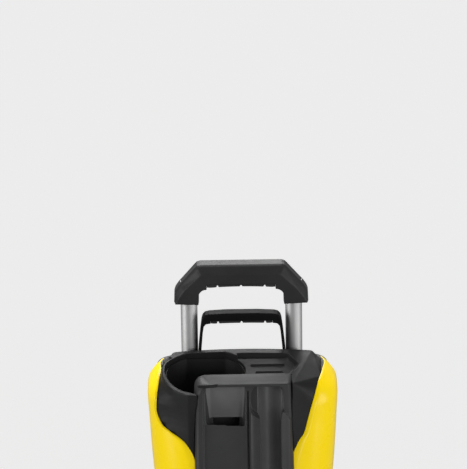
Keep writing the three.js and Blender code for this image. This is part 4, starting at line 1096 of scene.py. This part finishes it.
def unlit_set(name, *objects):
    """A set of objects that a light leaves dark."""
    group = bpy.data.collections.new(name)
    for k, obj in enumerate(objects):
        group.objects.link(obj)
        group.collection_objects[k].light_linking.link_state = "EXCLUDE"
    return group


unlit_floor = unlit_set("unlit_floor", floor)
tubes = [bpy.data.objects[side + "_tube_skin"] for side in ("left", "right")]
unlit_tubes = unlit_set("unlit_tubes", floor, *tubes)


def softbox(name, place, size, power, target=(0, 0, 0.4), unlit=unlit_floor):
    """A soft light that leaves the floor alone, so that the paper stays even."""
    data = bpy.data.lights.new(name, "AREA")
    data.shape, data.size, data.size_y, data.energy = "RECTANGLE", size[0], size[1], power
    lamp = bpy.data.objects.new(name, data)
    scene.collection.objects.link(lamp)
    lamp.location = place
    lamp.rotation_euler = (Vector(target) - Vector(place)).to_track_quat("-Z", "Y").to_euler()
    lamp.visible_camera = False
    lamp.light_linking.receiver_collection = unlit


world = bpy.data.worlds.new("studio")
world.use_nodes = True
sky = world.node_tree.nodes["Background"].inputs
sky["Color"].default_value, sky["Strength"].default_value = (1, 1, 1, 1), AMBIENT
scene.world = world
softbox("left_softbox", (-1.9, -0.7, 0.8), (1.0, 1.3), 24)
softbox("right_softbox", (1.9, -0.7, 0.8), (1.0, 1.3), 17)
softbox("front_softbox", (1.55, -2.8, 1.3), (1.2, 0.9), 26)
softbox("top_softbox", (-0.3, 1.2, 1.8), (1.6, 1.2), 46)
softbox("back_softbox", (0, 2.6, 1.15), (1.6, 0.6), 10)
softbox("left_low", (0.42, -1.0, 0.04), (0.3, 0.5), 0.6, (-0.08, 0.1, 0.45), unlit_tubes)
softbox("right_low", (-0.42, -1.0, 0.04), (0.3, 0.5), 0.6, (0.08, 0.1, 0.45), unlit_tubes)

scene.view_settings.view_transform = "Standard"
LENS, SENSOR, FARTHEST = 326.0, 36.0, 100.0  # millimetres, millimetres and metres
lens = bpy.data.cameras.new("camera")
lens.lens, lens.sensor_width, lens.clip_end = LENS, SENSOR, FARTHEST
camera = bpy.data.objects.new("camera", lens)
scene.collection.objects.link(camera)
AIM, REACH, TILT, ROLL = Vector((-0.0105, 0.080, 0.6458)), 6.5, radians(23), radians(-0.85)
camera.location = AIM + REACH * Vector((0, -cos(TILT), sin(TILT)))
look = (AIM - camera.location).to_track_quat("-Z", "Y").to_matrix().to_4x4()
camera.matrix_world = Matrix.Translation(camera.location) @ look @ Matrix.Rotation(ROLL, 4, "Z")
scene.camera = camera
